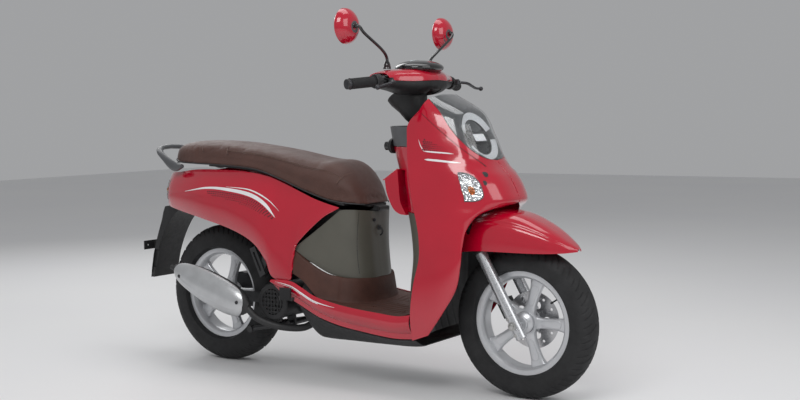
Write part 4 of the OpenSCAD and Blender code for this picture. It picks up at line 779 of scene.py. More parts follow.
LAMP_C = np.array([524.0, 0, 829])
LAMP_TILT = math.radians(61)
CELL_ROW_X = 3
CELL_BACK = -18
LAMP_AXIS = np.array([math.sin(LAMP_TILT), 0, math.cos(LAMP_TILT)])


def on_lamp(points):
    """Lamp frame: first along the face downwards, then to the left, then out along the lamp's axis."""
    p = np.asarray(points, float)
    s, c = math.sin(LAMP_TILT), math.cos(LAMP_TILT)
    return LAMP_C + np.stack([p[..., 0] * c + p[..., 2] * s, p[..., 1], -p[..., 0] * s + p[..., 2] * c], -1)


def lamp_block(x0, x1, y0, y1, face):
    """Block in the lamp frame, from the back of the cell row out to a face height."""
    corners = ((x0, y0), (x0, y1), (x1, y1), (x1, y0))
    points = on_lamp([[x + CELL_ROW_X, y, w] for w in (CELL_BACK, face) for x, y in corners])
    return points, [[0, 1, 2, 3], [7, 6, 5, 4], [0, 4, 5, 1], [1, 5, 6, 2], [2, 6, 7, 3], [3, 7, 4, 0]]


def build_headlamp():
    """Lamp behind its clear cover: stepped housing, broken ring of light, lidded middle, three cells."""
    u, s = mesh_of(np.linspace(LAMP_U + .002, .998, 60), np.linspace(-1, 1, 70))
    v = s * (lamp_half(u) - .012).clip(1e-4)
    glass = apron_pt(u, v)
    glass[..., 0] += 3.0 * (1 - s**2) * np.sin(np.clip((u - LAMP_U) / (1 - LAMP_U), 0, 1) * math.pi)
    make("headlamp_lens", [sheet(glass, APRON_CORE, 2.2)], "clear", "chassis", ("headlight_lens",))

    bowl = on_apron(u, s * (lamp_half(u) - .006).clip(1e-4), np.full(u.shape, -3.6))
    w = (bowl - LAMP_C) @ LAMP_AXIS
    radius = np.linalg.norm(bowl - LAMP_C - w[..., None] * LAMP_AXIS, axis=-1)
    blend = np.clip((radius - 88) / 9, 0, 1)
    blend = blend * blend * (3 - 2 * blend)
    sunk = np.minimum(w, -13 + 9 * np.clip((radius - 62) / 26, 0, 1))
    bowl = bowl - LAMP_AXIS * ((w - sunk) * (1 - blend))[..., None]
    make("headlamp_housing", [sheet(bowl, APRON_CORE, 1.5)], "lamp_grey", "chassis", ("headlight_housing",))

    line = np.linspace(-1, 1, 60)
    strips = []
    for height, half in ((.957, .0026), (.975, .0012)):
        uu, ss = mesh_of(np.linspace(height - half, height + half, 3), line)
        uu = uu - .030 * ss**2
        strips.append(sheet(on_apron(uu, ss * (lamp_half(uu) - .02), np.full(uu.shape, -4.0)), APRON_CORE,
                            1.0))
    make("headlamp_trim_line", strips, "shield", "chassis")

    guide = [[63, -11], [86, -2], [86, 3], [82, 3], [63, -6]]
    arcs = [arc_bar(guide, on_lamp([0, 0, 0]), LAMP_AXIS, math.radians(a), math.radians(b), 60)
            for a, b in ((16, 164), (204, 350))]
    y_cells = ((-36, -14), (-11.5, 11.5), (14, 36))
    blocks = [lamp_block(-13, 13, y0, y1, -2) for y0, y1 in y_cells]
    make("headlamp_ring", arcs, "lamp_white", "chassis", ("headlight_leds",))
    make("headlamp_cells", blocks, "lamp_cell", "chassis", bevel=1.5)

    dish = lathe([[0, -12], [60, -12], [62.5, -5], [64, -5], [63, -14], [0, -15]], on_lamp([0, 0, 0]),
                 LAMP_AXIS, 96, loop=False)
    lid = arc_bar([[0.5, -3], [40, -5], [58, -10], [58, -12], [0.5, -6]], on_lamp([-16, 0, 0]), LAMP_AXIS,
                  math.radians(16), math.radians(164), 40)
    lip = [on_lamp(p) for p in ([-15, -52, -6], [-15, 52, -6])]
    make("headlamp_dish", [dish], "lamp_dark", "chassis")
    make("headlamp_lid", [lid, rod(lip[0], lip[1], 3.2)], "lamp_grey", "chassis")
    bars = ((-17, -13.5, -40, 40), (13.5, 17, -40, 40), (-17, 17, -40, -36.5), (-17, 17, 36.5, 40))
    make("headlamp_cell_frame", [lamp_block(*bar, -.5) for bar in bars], "gloss_black", "chassis")


SHIELD_MID = [(270, 322), (360, 320), (450, 318), (560, 300), (680, 268), (780, 232), (870, 205), (915, 196)]


def shield_pt(z, v):
    """Rider-side cover: its middle line bent forward to the rear rim of the front cover by the cube of v."""
    rim = curve([(row[1][2], (row[1][0], row[1][1])) for row in APRON_OUT], z)
    mid = curve(SHIELD_MID, z)
    return np.stack([mid + (rim[..., 0] - 3 - mid) * np.abs(v) ** 3, v * (rim[..., 1] - 5), z], -1)


def build_leg_shield():
    """Lower shield in bronze, upper shield in paint, and the open pocket with its rolled lip."""
    def part(z0, z1, rows):
        z, v = mesh_of(np.linspace(z0, z1, rows), np.linspace(-1, 1, 121))
        crown = 2.2 * np.exp(-(((np.abs(v) - .42) / .08) ** 2)) * (z < 590)
        p = shield_pt(z, v)
        p[..., 0] -= crown
        keep = ~((z > 604) & (z < 722) & (p[..., 1] < -64) & (p[..., 1] > -142))[:-1, :-1]
        return sheet(p, (600, 0, 560), keep=keep)
    make("leg_shield_lower", [part(270, 588, 70)], "bronze", "chassis", ("leg_shield",),
         bevel=0.5)
    make("leg_shield_upper", [part(590, 798, 60)], "paint", "chassis", (), bevel=0.5)
    make("leg_shield_cap", [part(800, 864, 20)], "trim", "chassis", bevel=0.5)
    surround = [[0, -8], [25, -8], [25, 2], [22, 5], [17.5, 6], [15.6, 3], [15.6, -2], [0, -2]]
    make("ignition_surround", [lathe(surround, (234, -70, 800), (-1, 0, 0), 64, loop=False)], "plastic",
         "chassis", bevel=0.4)
    y0, y1 = -146, -62
    wall = smooth_path([(334, 580), (312, 622), (306, 676), (302, 728)], 8)[::-1]
    outer = np.concatenate([wall, smooth_path([(334, 580), (306, 584), (282, 602), (260, 648), (252, 694)],
                                              8)[1:]])
    walls = [prism(outer, y0, y0 + 3), prism(outer, y1 - 3, y1)]
    shell = np.array([[[p[0], y, p[1]] for y in (y0 + 2, y1 - 2)] for p in outer])
    walls.append(sheet(shell, (295, -104, 1650), 3.0))
    lip = [(302, y0 + 1, 728), (252, y0 + 1, 694.5), (251, y0 + 6, 694), (251, y1 - 6, 694),
           (252, y1 - 1, 694.5), (302, y1 - 1, 728)]
    walls.append(tube(smooth_path(lip, 6), 2.0, sides=10))
    make("glove_pocket_shell", walls, "paint", "chassis", ())


GUARD_MID = [(186, 418), (215, 410), (250, 401), (300, 395), (360, 394), (430, 397), (500, 402)]


def build_inner_fender():
    """Dark splash guard wrapped behind the front wheel, with pressed ribs."""
    def rim(z):
        return curve([(row[1][2], (row[1][0], row[1][1])) for row in APRON_IN[:7]], np.maximum(z, 206))
    z, v = mesh_of(np.linspace(207, 498, 70), np.linspace(-1, 1, 100))
    edge, mid = rim(z), curve(GUARD_MID, z)
    x = mid + (edge[..., 0] - 12 - mid) * np.abs(v) ** 3.5
    ribs = 2.0 * np.exp(-(((np.abs(v) % .24) - .12) / .02) ** 2) * np.clip((500 - z) / 40, 0, 1)
    grid = np.stack([x - ribs, v * (edge[..., 1] - 8), z], -1)
    make("splash_guard", [sheet(grid, (700, 0, 330))], "plastic", "chassis", ("inner_fender",))


# ---------------------------------------------------------------- floor and middle covers
MAT_EDGE = [(-108, 340), (-60, 322), (-9, 298), (60, 282), (143, 270), (240, 262), (326, 257), (366, 272)]
MAT_FOOT = [(-108, 448), (-60, 415), (15, 374), (60, 362), (91, 358), (160, 350)]
COVER_FOOT = [(0, (135, 0, 366)), (.22, (130, 52, 366)), (.45, (98, 105, 368)), (.65, (30, 138, 380)),
              (.83, (-45, 157, 420)), (1, (-104, 168, 460))]
COVER_HEAD = [(0, (126, 0, 574)), (.22, (122, 50, 580)), (.45, (103, 98, 585)), (.65, (84, 113, 586)),
              (.83, (66, 119, 586)), (1, (50, 122, 584))]
COVER_CORE = (-80, 0, 480)


def off_cover(x, y):
    """Distance outside the centre cover's foot: a width that narrows forwards, then an ellipse at its nose."""
    w = 172 * np.clip(1 - ((np.minimum(x, 60) + 108) / 243) ** 3, 0, None) ** .5
    return np.where(x > 60, np.hypot(np.clip(x - 60, 0, None) * 1.88, y) - 141, np.abs(y) - w)


def mat_height(x, y):
    """Flat floor dished between its edges, rising in a smooth step to the foot of the centre cover."""
    s = np.clip(off_cover(x, y) / 22, 0, 1)
    k = s * s * (3 - 2 * s)
    foot = curve(MAT_FOOT, np.minimum(x, 160))
    return foot + (curve(MAT_EDGE, x) + 4 * (1 - (y / 188) ** 2) - foot) * k


def build_floor_mat():
    """Rubber mat with raised ribs on the flat floor, plugs over its screws and a turned-down edge."""
    x, v = mesh_of(np.linspace(-106, 348, 200), np.linspace(-1, 1, 200))
    w = np.where(x > 300, 186 - 40 * ((x - 300) / 48) ** 2, 186)
    y = v * w
    z = mat_height(x, y)
    flat = np.clip((x - 140) / 20, 0, 1) * np.clip((318 - x) / 14, 0, 1) * np.clip((150 - np.abs(y)) / 12, 0,
                                                                                   1)
    gap = np.clip((np.abs(y) - 22) / 5, 0, 1)
    wave = np.clip(np.cos((x + 0.22 * np.abs(y)) * 2 * math.pi / 22) * 3, -1, 1)
    z = z + 1.3 * wave * flat * gap - 2.5 * np.clip((np.abs(v) - .97) / .03, 0, 1) ** 2
    keep = ~(off_cover(x, y) < -7)[:-1, :-1]
    grid = np.stack([x, y, z], -1)
    plugs = [lathe([[0, -2], [7, -2], [7, 1.2], [5.5, 2.2], [0, 2.2]],
                   (px, py, float(mat_height(np.array(px), np.array(py))) + 1),
                   (0, 0, 1), 24, loop=False) for px in (185, 300) for py in (-118, 118)]
    make("floor_mat_rubber", [sheet(grid, (100, 0, -600), 6, keep), *plugs], "mat", "chassis",
         ("floor_mat",))


RAIL_LOW = [(-202, 330), (-160, 300), (-79, 262), (-1, 228), (75, 208), (151, 197), (298, 183), (383, 187)]
RAIL_TOP = [(-202, 344), (-108, 343), (-60, 324), (-9, 300), (60, 284), (143, 272), (240, 264), (326, 259),
            (383, 268)]


def rail_pt(x, v):
    """Rounded beam beside the floor: from its top edge out over the swell and down to the belly."""
    z0, z1 = curve(RAIL_TOP, x), curve(RAIL_LOW, x)
    swell = np.sin(np.minimum(1, v * 1.15 + .12) * math.pi).clip(0) ** .8
    return np.stack([x + 0 * v, 188 + 16 * swell - 6 * v, z0 + (z1 - z0) * v], -1)


def build_side_rails():
    """Painted rails with their film lines, and the hinge pin and lugs of each folded footrest."""
    x, v = mesh_of(np.linspace(-194, 374, 130), np.linspace(0, 1, 36))
    core = (80, 120, 250)
    shell = [sheet(rail_pt(x, v), core, 2.4)]
    width = curve([(0, .3), (.2, 1.6), (.6, 2.6), (1, .3)], np.linspace(0, 1, 60))
    k = np.linspace(-1, 1, 5)
    vv = (.17 + .06 * np.sin(np.linspace(0, 1, 60) * math.pi))[:, None] + width[:, None] * k / 75
    xx = np.linspace(-172, 80, 60)[:, None] + 0 * k
    film = [sheet(rail_pt(xx, vv), core, .35, lift=.5)]
    vv2 = vv + .075 - np.linspace(0, .03, 60)[:, None]
    film.append(sheet(rail_pt(xx[:44], (vv2 - width[:, None] * k / 140)[:44]), core, .35, lift=.5))
    for s, name in SIDES:
        node = f"side_rail_{name}"
        make(f"{node}_shell", on_side(shell, s), "paint", "chassis", (node,), bevel=0.6)
        make(f"{node}_stripes", on_side(film, s), "white_line", "chassis")
        hinge = [rod((-118 - 29, 210, 284), (-118 + 29, 210, 284), 3.0)]
        hinge += [block((-118 + e * 26 - 2, 199, 279), (-118 + e * 26 + 2, 215, 291)) for e in (-1, 1)]
        make(f"{node}_step_hinge", on_side(hinge, s), "frame", "chassis", bevel=0.4)


def build_belly():
    """Dark tray below the floor, its corners rolled up to the rails, with cross ribs."""
    bottom = [(-95, 196), (-60, 160), (-30, 146), (100, 145), (260, 146), (350, 149), (400, 160), (434, 182)]
    x, v = mesh_of(np.linspace(-95, 378, 110), np.linspace(-1, 1, 90))
    k = np.clip((np.abs(v) - .62) / .38, 0, 1)
    low, top = curve(bottom, x), curve(RAIL_LOW, x) - 6
    z = low + (top - low) * k * k * (3 - 2 * k) + 1.5 * (np.abs(((x + 95) % 60) - 30) < 3) * (k < .01)
    make("belly_tray", [sheet(np.stack([x, v * 182, z], -1), (150, 0, 700))], "plastic", "chassis",
         ("belly_cover",), bevel=0.5)


def cover_wall(s, v):
    """Straight from the foot curve to the head curve, drawn inwards by the sine of the height."""
    foot, head = curve(COVER_FOOT, np.abs(s)), curve(COVER_HEAD, np.abs(s))
    p = foot + (head - foot) * v[..., None]
    bow = np.sin(v.clip(0) * math.pi)
    return np.stack([p[..., 0] - 6 * bow * (1 - np.abs(s)), np.sign(s) * p[..., 1] * (1 - .03 * bow),
                     p[..., 2]], -1)


def build_centre_cover():
    """Bronze cover round the luggage box, with two seams, a lock and a bag hook."""
    s, v = mesh_of(np.linspace(-1, 1, 150), np.linspace(-.06, 1, 44))
    make("centre_cover_shell", [sheet(cover_wall(s, v), COVER_CORE)], "bronze", "chassis", ("centre_cover",),
         bevel=0.6)
    seams = []
    # Painted shade: thin dark strips laid along the two panel lines.
    for place in (-.4, .4):
        ss, vv = mesh_of([place - .0035, place, place + .0035], np.linspace(.02, .98, 40))
        ss = ss + np.sign(place) * .03 * np.sin(vv * math.pi)
        seams.append(sheet(cover_wall(ss, vv), COVER_CORE, .4, lift=.25))
    make("centre_cover_seam_shade", seams, "lamp_dark", "chassis")
    lock = lathe([[0, -3], [6, -3], [6, 1], [5, 1.6], [2.4, 1.6], [2.4, .4], [0, .4]], (128, -30, 548),
                 (1, -.12, .05), 32, loop=False)
    hook = tube(smooth_path([(124, 0, 520), (134, 0, 518), (140, 0, 508), (136, 0, 497), (129, 0, 494)], 6),
                3.0, side=(0, 1, 0))
    make("centre_cover_screw", [lock], "black_bolt", "chassis")
    make("bag_hook", [hook, lathe([[0, -2], [9, -2], [9, 2], [0, 2]], (126, 0, 520), (1, 0, 0), 24,
                                  loop=False)],
         "plastic", "chassis")


# ---------------------------------------------------------------- rear covers
PANEL_TOP = [(0, (-806, 1, 694)), (.05, (-796, 36, 695)), (.1, (-768, 66, 696)), (.17, (-720, 90, 699)),
             (.3, (-600, 110, 712)), (.45, (-450, 120, 713)), (.55, (-350, 125, 708)),
             (.65, (-250, 129, 693)),
             (.72, (-180, 131, 671)), (.8, (-100, 133, 641)), (.86, (-50, 133, 622)), (.92, (0, 131, 607)),
             (.97, (36, 129, 598)), (1, (52, 128, 594))]
PANEL_LOW = [(0, (-822, 1, 580)), (.05, (-814, 40, 578)), (.1, (-790, 72, 574)), (.17, (-735, 104, 566)),
             (.3, (-560, 146, 538)), (.45, (-400, 163, 505)), (.55, (-300, 170, 466)),
             (.65, (-238, 175, 408)),
             (.72, (-200, 181, 350)), (.8, (-116, 188, 347)), (.86, (-114, 185, 410)), (.92, (-92, 177, 470)),
             (.97, (-6, 152, 556)), (1, (48, 131, 590))]
PANEL_BULGE = [(0, (-12, 0)), (.05, (-11, 4)), (.1, (-8, 12)), (.17, (-4, 20)), (.3, (0, 28)), (.45, (0, 30)),
               (.55, (0, 28)), (.65, (0, 25)), (.72, (0, 20)), (.8, (0, 12)), (.86, (0, 9)), (.92, (0, 7)),
               (.97, (0, 4)), (1, (0, 0))]
PANEL_CORE = (-350, 0, 560)


def panel_pt(u, v):
    """Side cover: straight between its top and bottom curves, swelled by the sine of the height."""
    a, b, k = curve(PANEL_TOP, u), curve(PANEL_LOW, u), curve(PANEL_BULGE, u)
    q = np.sin(np.clip(v, 0, 1) * math.pi).clip(0) ** .9
    p = a + (b - a) * np.asarray(v)[..., None]
    waist = 2.0 * np.exp(-(((v - .56 + .25 * u) / .05) ** 2)) * np.clip((u - .16) / .1, 0,
                                                                        1) * np.clip((.8 - u) / .15, 0, 1)
    return np.stack([p[..., 0] + k[..., 0] * q, p[..., 1] + k[..., 1] * q + waist, p[..., 2]], -1)


def build_side_panels():
    """Painted side covers with the film strokes that sweep along them."""
    us = np.unique(np.concatenate([np.linspace(0, .135, 24), np.linspace(.135, 1, 120)]))
    vs = np.unique(np.concatenate([np.linspace(0, .2, 10), np.linspace(.2, .8, 28), np.linspace(.8, 1, 10)]))
    u, v = mesh_of(us, vs)
    keep = ~((u < .135 - 1e-9) & (v > .2 - 1e-9) & (v < .8 - 1e-9))[:-1, :-1]
    shell = sheet(panel_pt(u, v), PANEL_CORE, keep=keep)
    lu, lv = np.linspace(.14, .98, 110), np.linspace(.03, .97, 50)
    thick_line = conform(panel_pt,
                         [(-636, 633), (-517, 649), (-409, 645), (-311, 630), (-244, 601), (-192, 555)],
                         [(0, .5), (.2, 3.4), (.6, 6.2), (.85, 5.0), (1, .4)], PANEL_CORE, lu, lv)
    thin_line = conform(panel_pt, [(-424, 655), (-319, 647), (-238, 618), (-180, 577)],
                        [(0, .3), (.5, 2.3), (1, .3)], PANEL_CORE, lu, lv)
    i, j = np.meshgrid(np.arange(36), np.arange(7), indexing="ij")
    x = (-508 + 9 * i + 4.5 * (j % 2)).ravel()
    below = curve([(-630, 633), (-517, 649), (-409, 645), (-311, 630), (-244, 601), (-180, 548)], x) - 12
    z = below - 6.5 * j.ravel() - 1
    inside = z > curve([(-520, 632), (-505, 627), (-352, 600), (-223, 556), (-190, 548)], x)
    r = np.clip(2.9 - .28 * j.ravel(), 0.8, 3)[inside]
    spots = film_dots(panel_pt, x[inside], z[inside], r, PANEL_CORE, lu, lv)
    for s, name in SIDES:
        node = f"side_panel_{name}"
        make(f"{node}_shell", on_side([shell], s), "paint", "chassis", (node,), bevel=0.7)
        make(f"{node}_stripes", on_side([thick_line, thin_line], s), "white_line", "chassis")
        make(f"{node}_spots", on_side(spots, s), "dark_film", "chassis")


def tail_grid(s, v):
    """Tail lamp surface: the side covers' own surface carried across the centre plane."""
    p = panel_pt(np.abs(s), v)
    p[..., 1] *= np.sign(s)
    return p


def build_tail_lamp():
    """Outer lens in red with clear ends, a pressed reflector behind and two bulbs."""
    def part(a, b, v0, v1, n, depth):
        s, v = mesh_of(np.linspace(a, b, n), np.linspace(v0, v1, 24))
        g = tail_grid(s, v)
        g[np.abs(s) < 1e-9, 1] = 0
        n_ = normals(g, PANEL_CORE)
        return g - n_ * depth
    red = part(-.0999, .0999, .225, .775, 61, 0)
    ribs = .5 * np.cos(np.linspace(0, 24 * math.pi, 61))[:, None, None]
    make("tail_lens", [sheet(red + normals(red, PANEL_CORE) * ribs, PANEL_CORE, 3)], "red_lens", "chassis",
         ("tail_light",))
    clear_ends = [sheet(part(a, b, .225, .775, 16, 0), PANEL_CORE, 3) for a,
                  b in ((-.1285, -.1025), (.1025, .1285))]
    make("tail_side_lenses", clear_ends, "clear", "chassis")
    make("tail_reflector", [sheet(part(-.1, .1, .24, .76, 61, 10), PANEL_CORE, 2)], "red_reflector",
         "chassis")
    make("tail_side_reflectors",
         [sheet(part(a, b, .24, .76, 16, 10), PANEL_CORE, 2) for a, b in ((-.1275, -.1035), (.1035, .1275))],
         "reflector", "chassis")
    make("tail_side_bulbs", [ball(tail_grid(np.array(a), np.array(.5)) - [0, math.copysign(2, a), 0]
                                  + [3, 0, 0], 7) for a in (-.115, .115)],
         "amber", "chassis")


def build_grab_rail():
    """Deep tapered bar in a U round the tail, thick at the back and thin at its ends."""
    rows = [(-664, 128, 722), (-700, 124, 730), (-750, 114, 748), (-803, 96, 771), (-835, 58, 787),
            (-842, 0, 792)]
    half = smooth_path(rows, 12)
    path = np.concatenate([half[:-1], (half * [1, -1, 1])[::-1]])
    t = np.linspace(-1, 1, len(path))
    deep = 9 + 10 * np.exp(-(((np.abs(t) - .74) / .2) ** 2)) - 3 * t**8
    path[:, 2] -= deep - 9
    make("grab_rail_bar", [tube(path, 12.5 - 2.5 * t**4, deep, sides=32)], "trim", "chassis", ("grab_rail",))
    bolts = []
    for s in (-1, 1):
        bolts += bolt((-690, s * 116, 737), (0, 0, 1), 4.5, 3)
    make("grab_rail_bolts", bolts, "black_bolt", "chassis")


# ---------------------------------------------------------------- seat
SEAT_LOW = [(-744, 742), (-690, 730), (-600, 726), (-528, 724), (-420, 719), (-350, 714), (-283, 704),
            (-220, 686),
            (-160, 666), (-100, 644), (-42, 624), (0, 611), (45, 602), (131, 592)]
SEAT_HIGH = [(-744, 768), (-738, 788), (-700, 804), (-618, 811), (-473, 805), (-378, 794), (-260, 778),
             (-128, 757),
             (-60, 750), (-2, 746), (40, 725), (78, 684), (110, 630), (131, 596)]
SEAT_HALF = [(-744, 62), (-725, 92), (-690, 112), (-600, 128), (-473, 134), (-300, 137), (-160, 139),
             (-60, 136),
             (20, 124), (70, 108), (105, 88), (131, 50)]

SEAT_NOSE = 131
SEAT_LENGTH = 875
SEAT_PAN_GAP = 8.4
CLOTH_STEPS = 20


def seat_pt(x, a, inset=0.0):
    """Cushion section: a superellipse half ring over a flat base; a runs from 0 at the left to 1 at the right."""
    z0 = curve(SEAT_LOW, x) + SEAT_PAN_GAP
    z1 = np.maximum(curve(SEAT_HIGH, x), z0 + 3)
    w = curve(SEAT_HALF, x)
    c, s = np.cos(a * math.pi), np.sin(a * math.pi).clip(0)
    dish = 5.0 * np.exp(-((x + 60) / 95) ** 2) * np.exp(-((c / .5) ** 2)) * s
    y = (w - inset) * signed_power(c, .62)
    return np.stack([x + 0 * a, y, z0 + (z1 - z0 - inset) * s**.62 - dish], -1)


def build_seat():
    """Foam cushion: the section ring swelled by a short cloth simulation, then piping and stitches."""
    xs = SEAT_NOSE - SEAT_LENGTH * (1 - np.cos(np.linspace(0, math.pi, 110))) / 2
    a = np.linspace(0, 1, 64)
    x, t = mesh_of(xs, a)
    grid = seat_pt(x, t, 2.5)
    low = grid[:, -1:0:-1].copy()
    low[..., 2] = curve(SEAT_LOW, x[:, -1:0:-1]) + 8.6
    low[..., 1] *= .96
    ring = np.concatenate([grid, low[:, 1:]], 1)
    cushion = make("seat_padding", [loft(ring)], "vinyl", None)
    swell(cushion, 5.0, 7.0)
    sub = cushion.modifiers.new("round", "SUBSURF")
    sub.levels = sub.render_levels = 1
    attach(cushion, "seat")
    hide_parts("seat_cushion")

    make("seat_piping", [tube(path, 1.3, sides=8) for path in seat_lines()], "vinyl", "seat")
    thread = []
    for path in seat_lines():
        p = np.asarray(path)
        length = np.concatenate([[0], np.cumsum(np.linalg.norm(np.diff(p, axis=0), axis=1))])
        at = np.arange(4, length[-1] - 6, 7.0)
        q = np.stack([np.interp(at, length, p[:, k]) for k in range(3)], -1)
        r = np.stack([np.interp(at + 3.6, length, p[:, k]) for k in range(3)], -1)
        up = unit(q - np.array([-300, 0, 560]))
        shift = unit(np.cross(unit(r - q), up)) * 3.2
        for m, n, o, k in zip(q, r, up, shift):
            thread.append(lathe([[0, 0], [.45, .3], [.45, 3.2], [0, 3.5]], m + o * .6 + k, n - m, 5,
                                loop=False))
    make("seat_stitches", thread, "thread", "seat")
    welt = np.linspace(-735, 118, 120)
    for s, name in SIDES:
        edge = seat_pt(welt, np.zeros(welt.shape))
        edge[:, 1] = s * (np.abs(edge[:, 1]) - 1.0)
        edge[:, 2] += .6
        make(f"seat_welt_{name}", [tube(edge, 2.2, sides=8)], "plastic", "seat")


def seat_lines():
    """Seams: two across the pillion pad, one across the nose, and one along each bolster."""
    lines = []
    for x0, bend, a0, a1 in ((-470, 52, .12, .88), (-600, 70, .13, .87), (62, -40, .10, .90)):
        a = np.linspace(a0, a1, 60)
        x = x0 + bend * np.abs(2 * a - 1) ** 1.8
        lines.append(seat_pt(x, a) + [0, 0, 1.2])
    for a0 in (.2, .8):
        x = np.linspace(-452, 50, 90)
        side = a0 + (.035 if a0 < .5 else -.035) * np.sin((x + 452) / 502 * math.pi)
        lines.append(seat_pt(x, side) + [0, 0, 1.0])
    return lines


def swell(obj, voxel, cap):
    """Voxel remesh, cloth under pressure without gravity, and every move held to the cap in mm."""
    scene = bpy.context.scene
    remesh = obj.modifiers.new("even", "REMESH")
    remesh.mode = "VOXEL"
    remesh.voxel_size = voxel * MM
    apply_modifier(obj, "even")
    start = points_of(obj)
    cloth = obj.modifiers.new("cloth", "CLOTH")
    cloth.settings.use_pressure = True
    cloth.settings.uniform_pressure_force = 4.0
    cloth.settings.effector_weights.gravity = 0
    cloth.settings.tension_stiffness = 15
    cloth.settings.compression_stiffness = 15
    cloth.settings.bending_stiffness = 1.2
    cloth.settings.quality = 4
    cloth.collision_settings.use_self_collision = False
    cloth.point_cache.frame_start, cloth.point_cache.frame_end = 1, CLOTH_STEPS
    for step in range(1, CLOTH_STEPS + 1):
        scene.frame_set(step)
    depsgraph = bpy.context.evaluated_depsgraph_get()
    evaluated = obj.evaluated_get(depsgraph)
    moved = np.empty(len(evaluated.data.vertices) * 3, np.float32)
    evaluated.data.vertices.foreach_get("co", moved)
    moved = moved.reshape(-1, 3)
    obj.modifiers.remove(cloth)
    scene.frame_set(1)
    shift = moved - start
    size = np.linalg.norm(shift, axis=1, keepdims=True)
    shift *= np.minimum(1, cap * MM / np.maximum(size, 1e-9))
    base = curve(SEAT_LOW, start[:, 0] / MM) * MM
    hold = np.clip((start[:, 2] - base - .010) / .02, 0, 1)[:, None]
    final = start + shift * hold
    final[:, 2] = np.maximum(final[:, 2], base + SEAT_PAN_GAP * MM)
    obj.data.vertices.foreach_set("co", final.astype(np.float32).ravel())
    obj.data.update()
    obj.data.shade_smooth()


def points_of(obj):
    """Every vertex of an object's mesh, in metres."""
    co = np.empty(len(obj.data.vertices) * 3, np.float32)
    obj.data.vertices.foreach_get("co", co)
    return co.reshape(-1, 3)


def apply_modifier(obj, name):
    """Bakes one modifier into its mesh."""
    with bpy.context.temp_override(object=obj, active_object=obj, selected_objects=[obj]):
        bpy.ops.object.modifier_apply(modifier=name)


# ---------------------------------------------------------------- handlebar and controls
BAR_C = steered([52, 0, 868])
BAR_DIR = unit(np.array([-0.32, 1, -0.09]))
COVER_FRONT = [(0, 372), (60, 366), (110, 342), (160, 318), (190, 308)]
COVER_BACK = [(0, 206), (60, 208), (110, 214), (160, 220), (190, 226)]
COVER_HIGH = [(0, 1050), (60, 1050), (110, 1048), (160, 1043), (190, 1036)]
COVER_SPLIT = [(0, 1012), (60, 1010), (110, 1008), (160, 1010), (190, 1012)]
COVER_LOW = [(0, 962), (60, 966), (110, 976), (160, 984), (190, 987)]


def bar_at(s, y):
    """Point on the bar's axis at a distance y from the middle, past its bend."""
    return np.array([BAR_C[0], s * 192, BAR_C[2]]) + (y - 192) * BAR_DIR * [1, s, 1]


def cover_pt(y, t, table):
    """Half of a rounded section between the cover's back and front edges, above or below the split line."""
    a, b, z0, z1 = (curve(rows, np.abs(y)) for rows in (COVER_BACK, COVER_FRONT, COVER_SPLIT, table))
    c, s = np.cos(t * math.pi), np.sin(t * math.pi).clip(0)
    return np.stack([(a + b) / 2 + (b - a) / 2 * signed_power(c, .8), y + 0 * t, z0 + (z1 - z0) * s**.8], -1)


def build_bar_covers():
    """Painted upper cover and dark lower cover of the bars, with the switch housings."""
    y, t = mesh_of(np.linspace(-190, 190, 160), np.linspace(0, 1, 50))
    top = cover_pt(y, t, COVER_HIGH)
    top[..., 2] += 1 + 1.4 * np.exp(-(((t - .3) / .045) ** 2)) * np.clip((180 - np.abs(y)) / 40, 0, 1)
    make("bar_cover_upper", [sheet(top, (290, 0, 1000))], "paint", "steering", ("handlebar_cover_front",),
         bevel=0.6)
    low = cover_pt(y, t, COVER_LOW)
    keep = ~((np.abs(y) < 31) & (t > .16) & (t < .84))[:-1, :-1]
    parts = [sheet(low, (290, 0, 1020), keep=keep)]
    for s in (-1, 1):
        p, q = bar_at(s, 209), bar_at(s, 231)
        parts.append(lathe([[11.4, 0], [21, 0], [23, 2], [23, 10], [22.3, 10.6], [22.3, 11.4], [23, 12],
                            [23, 20], [21, 22.1], [11.4, 22.1]],
                           p, q - p, 64))
    shroud = [[20, 748], [34, 752], [44, 775], [52, 806], [66, 838], [70, 856], [66, 856], [20, 854]]
    low_end = steered([0, 0, 0])
    parts.append(lathe(shroud, low_end, steered([0, 0, 1]) - low_end, 72))
    make("bar_cover_lower", parts, "plastic", "steering", ("handlebar_cover_rear",),
         bevel=0.4)


METER_X = 298
METER_Z = 1053.5
METER_LONG = 78
METER_HALF = 88
METER_RISE = 26


def meter_width(y):
    """Share of the meter's full section left at a distance y from its middle."""
    return np.sqrt(np.clip(1 - (y / METER_HALF) ** 2, .02, None))


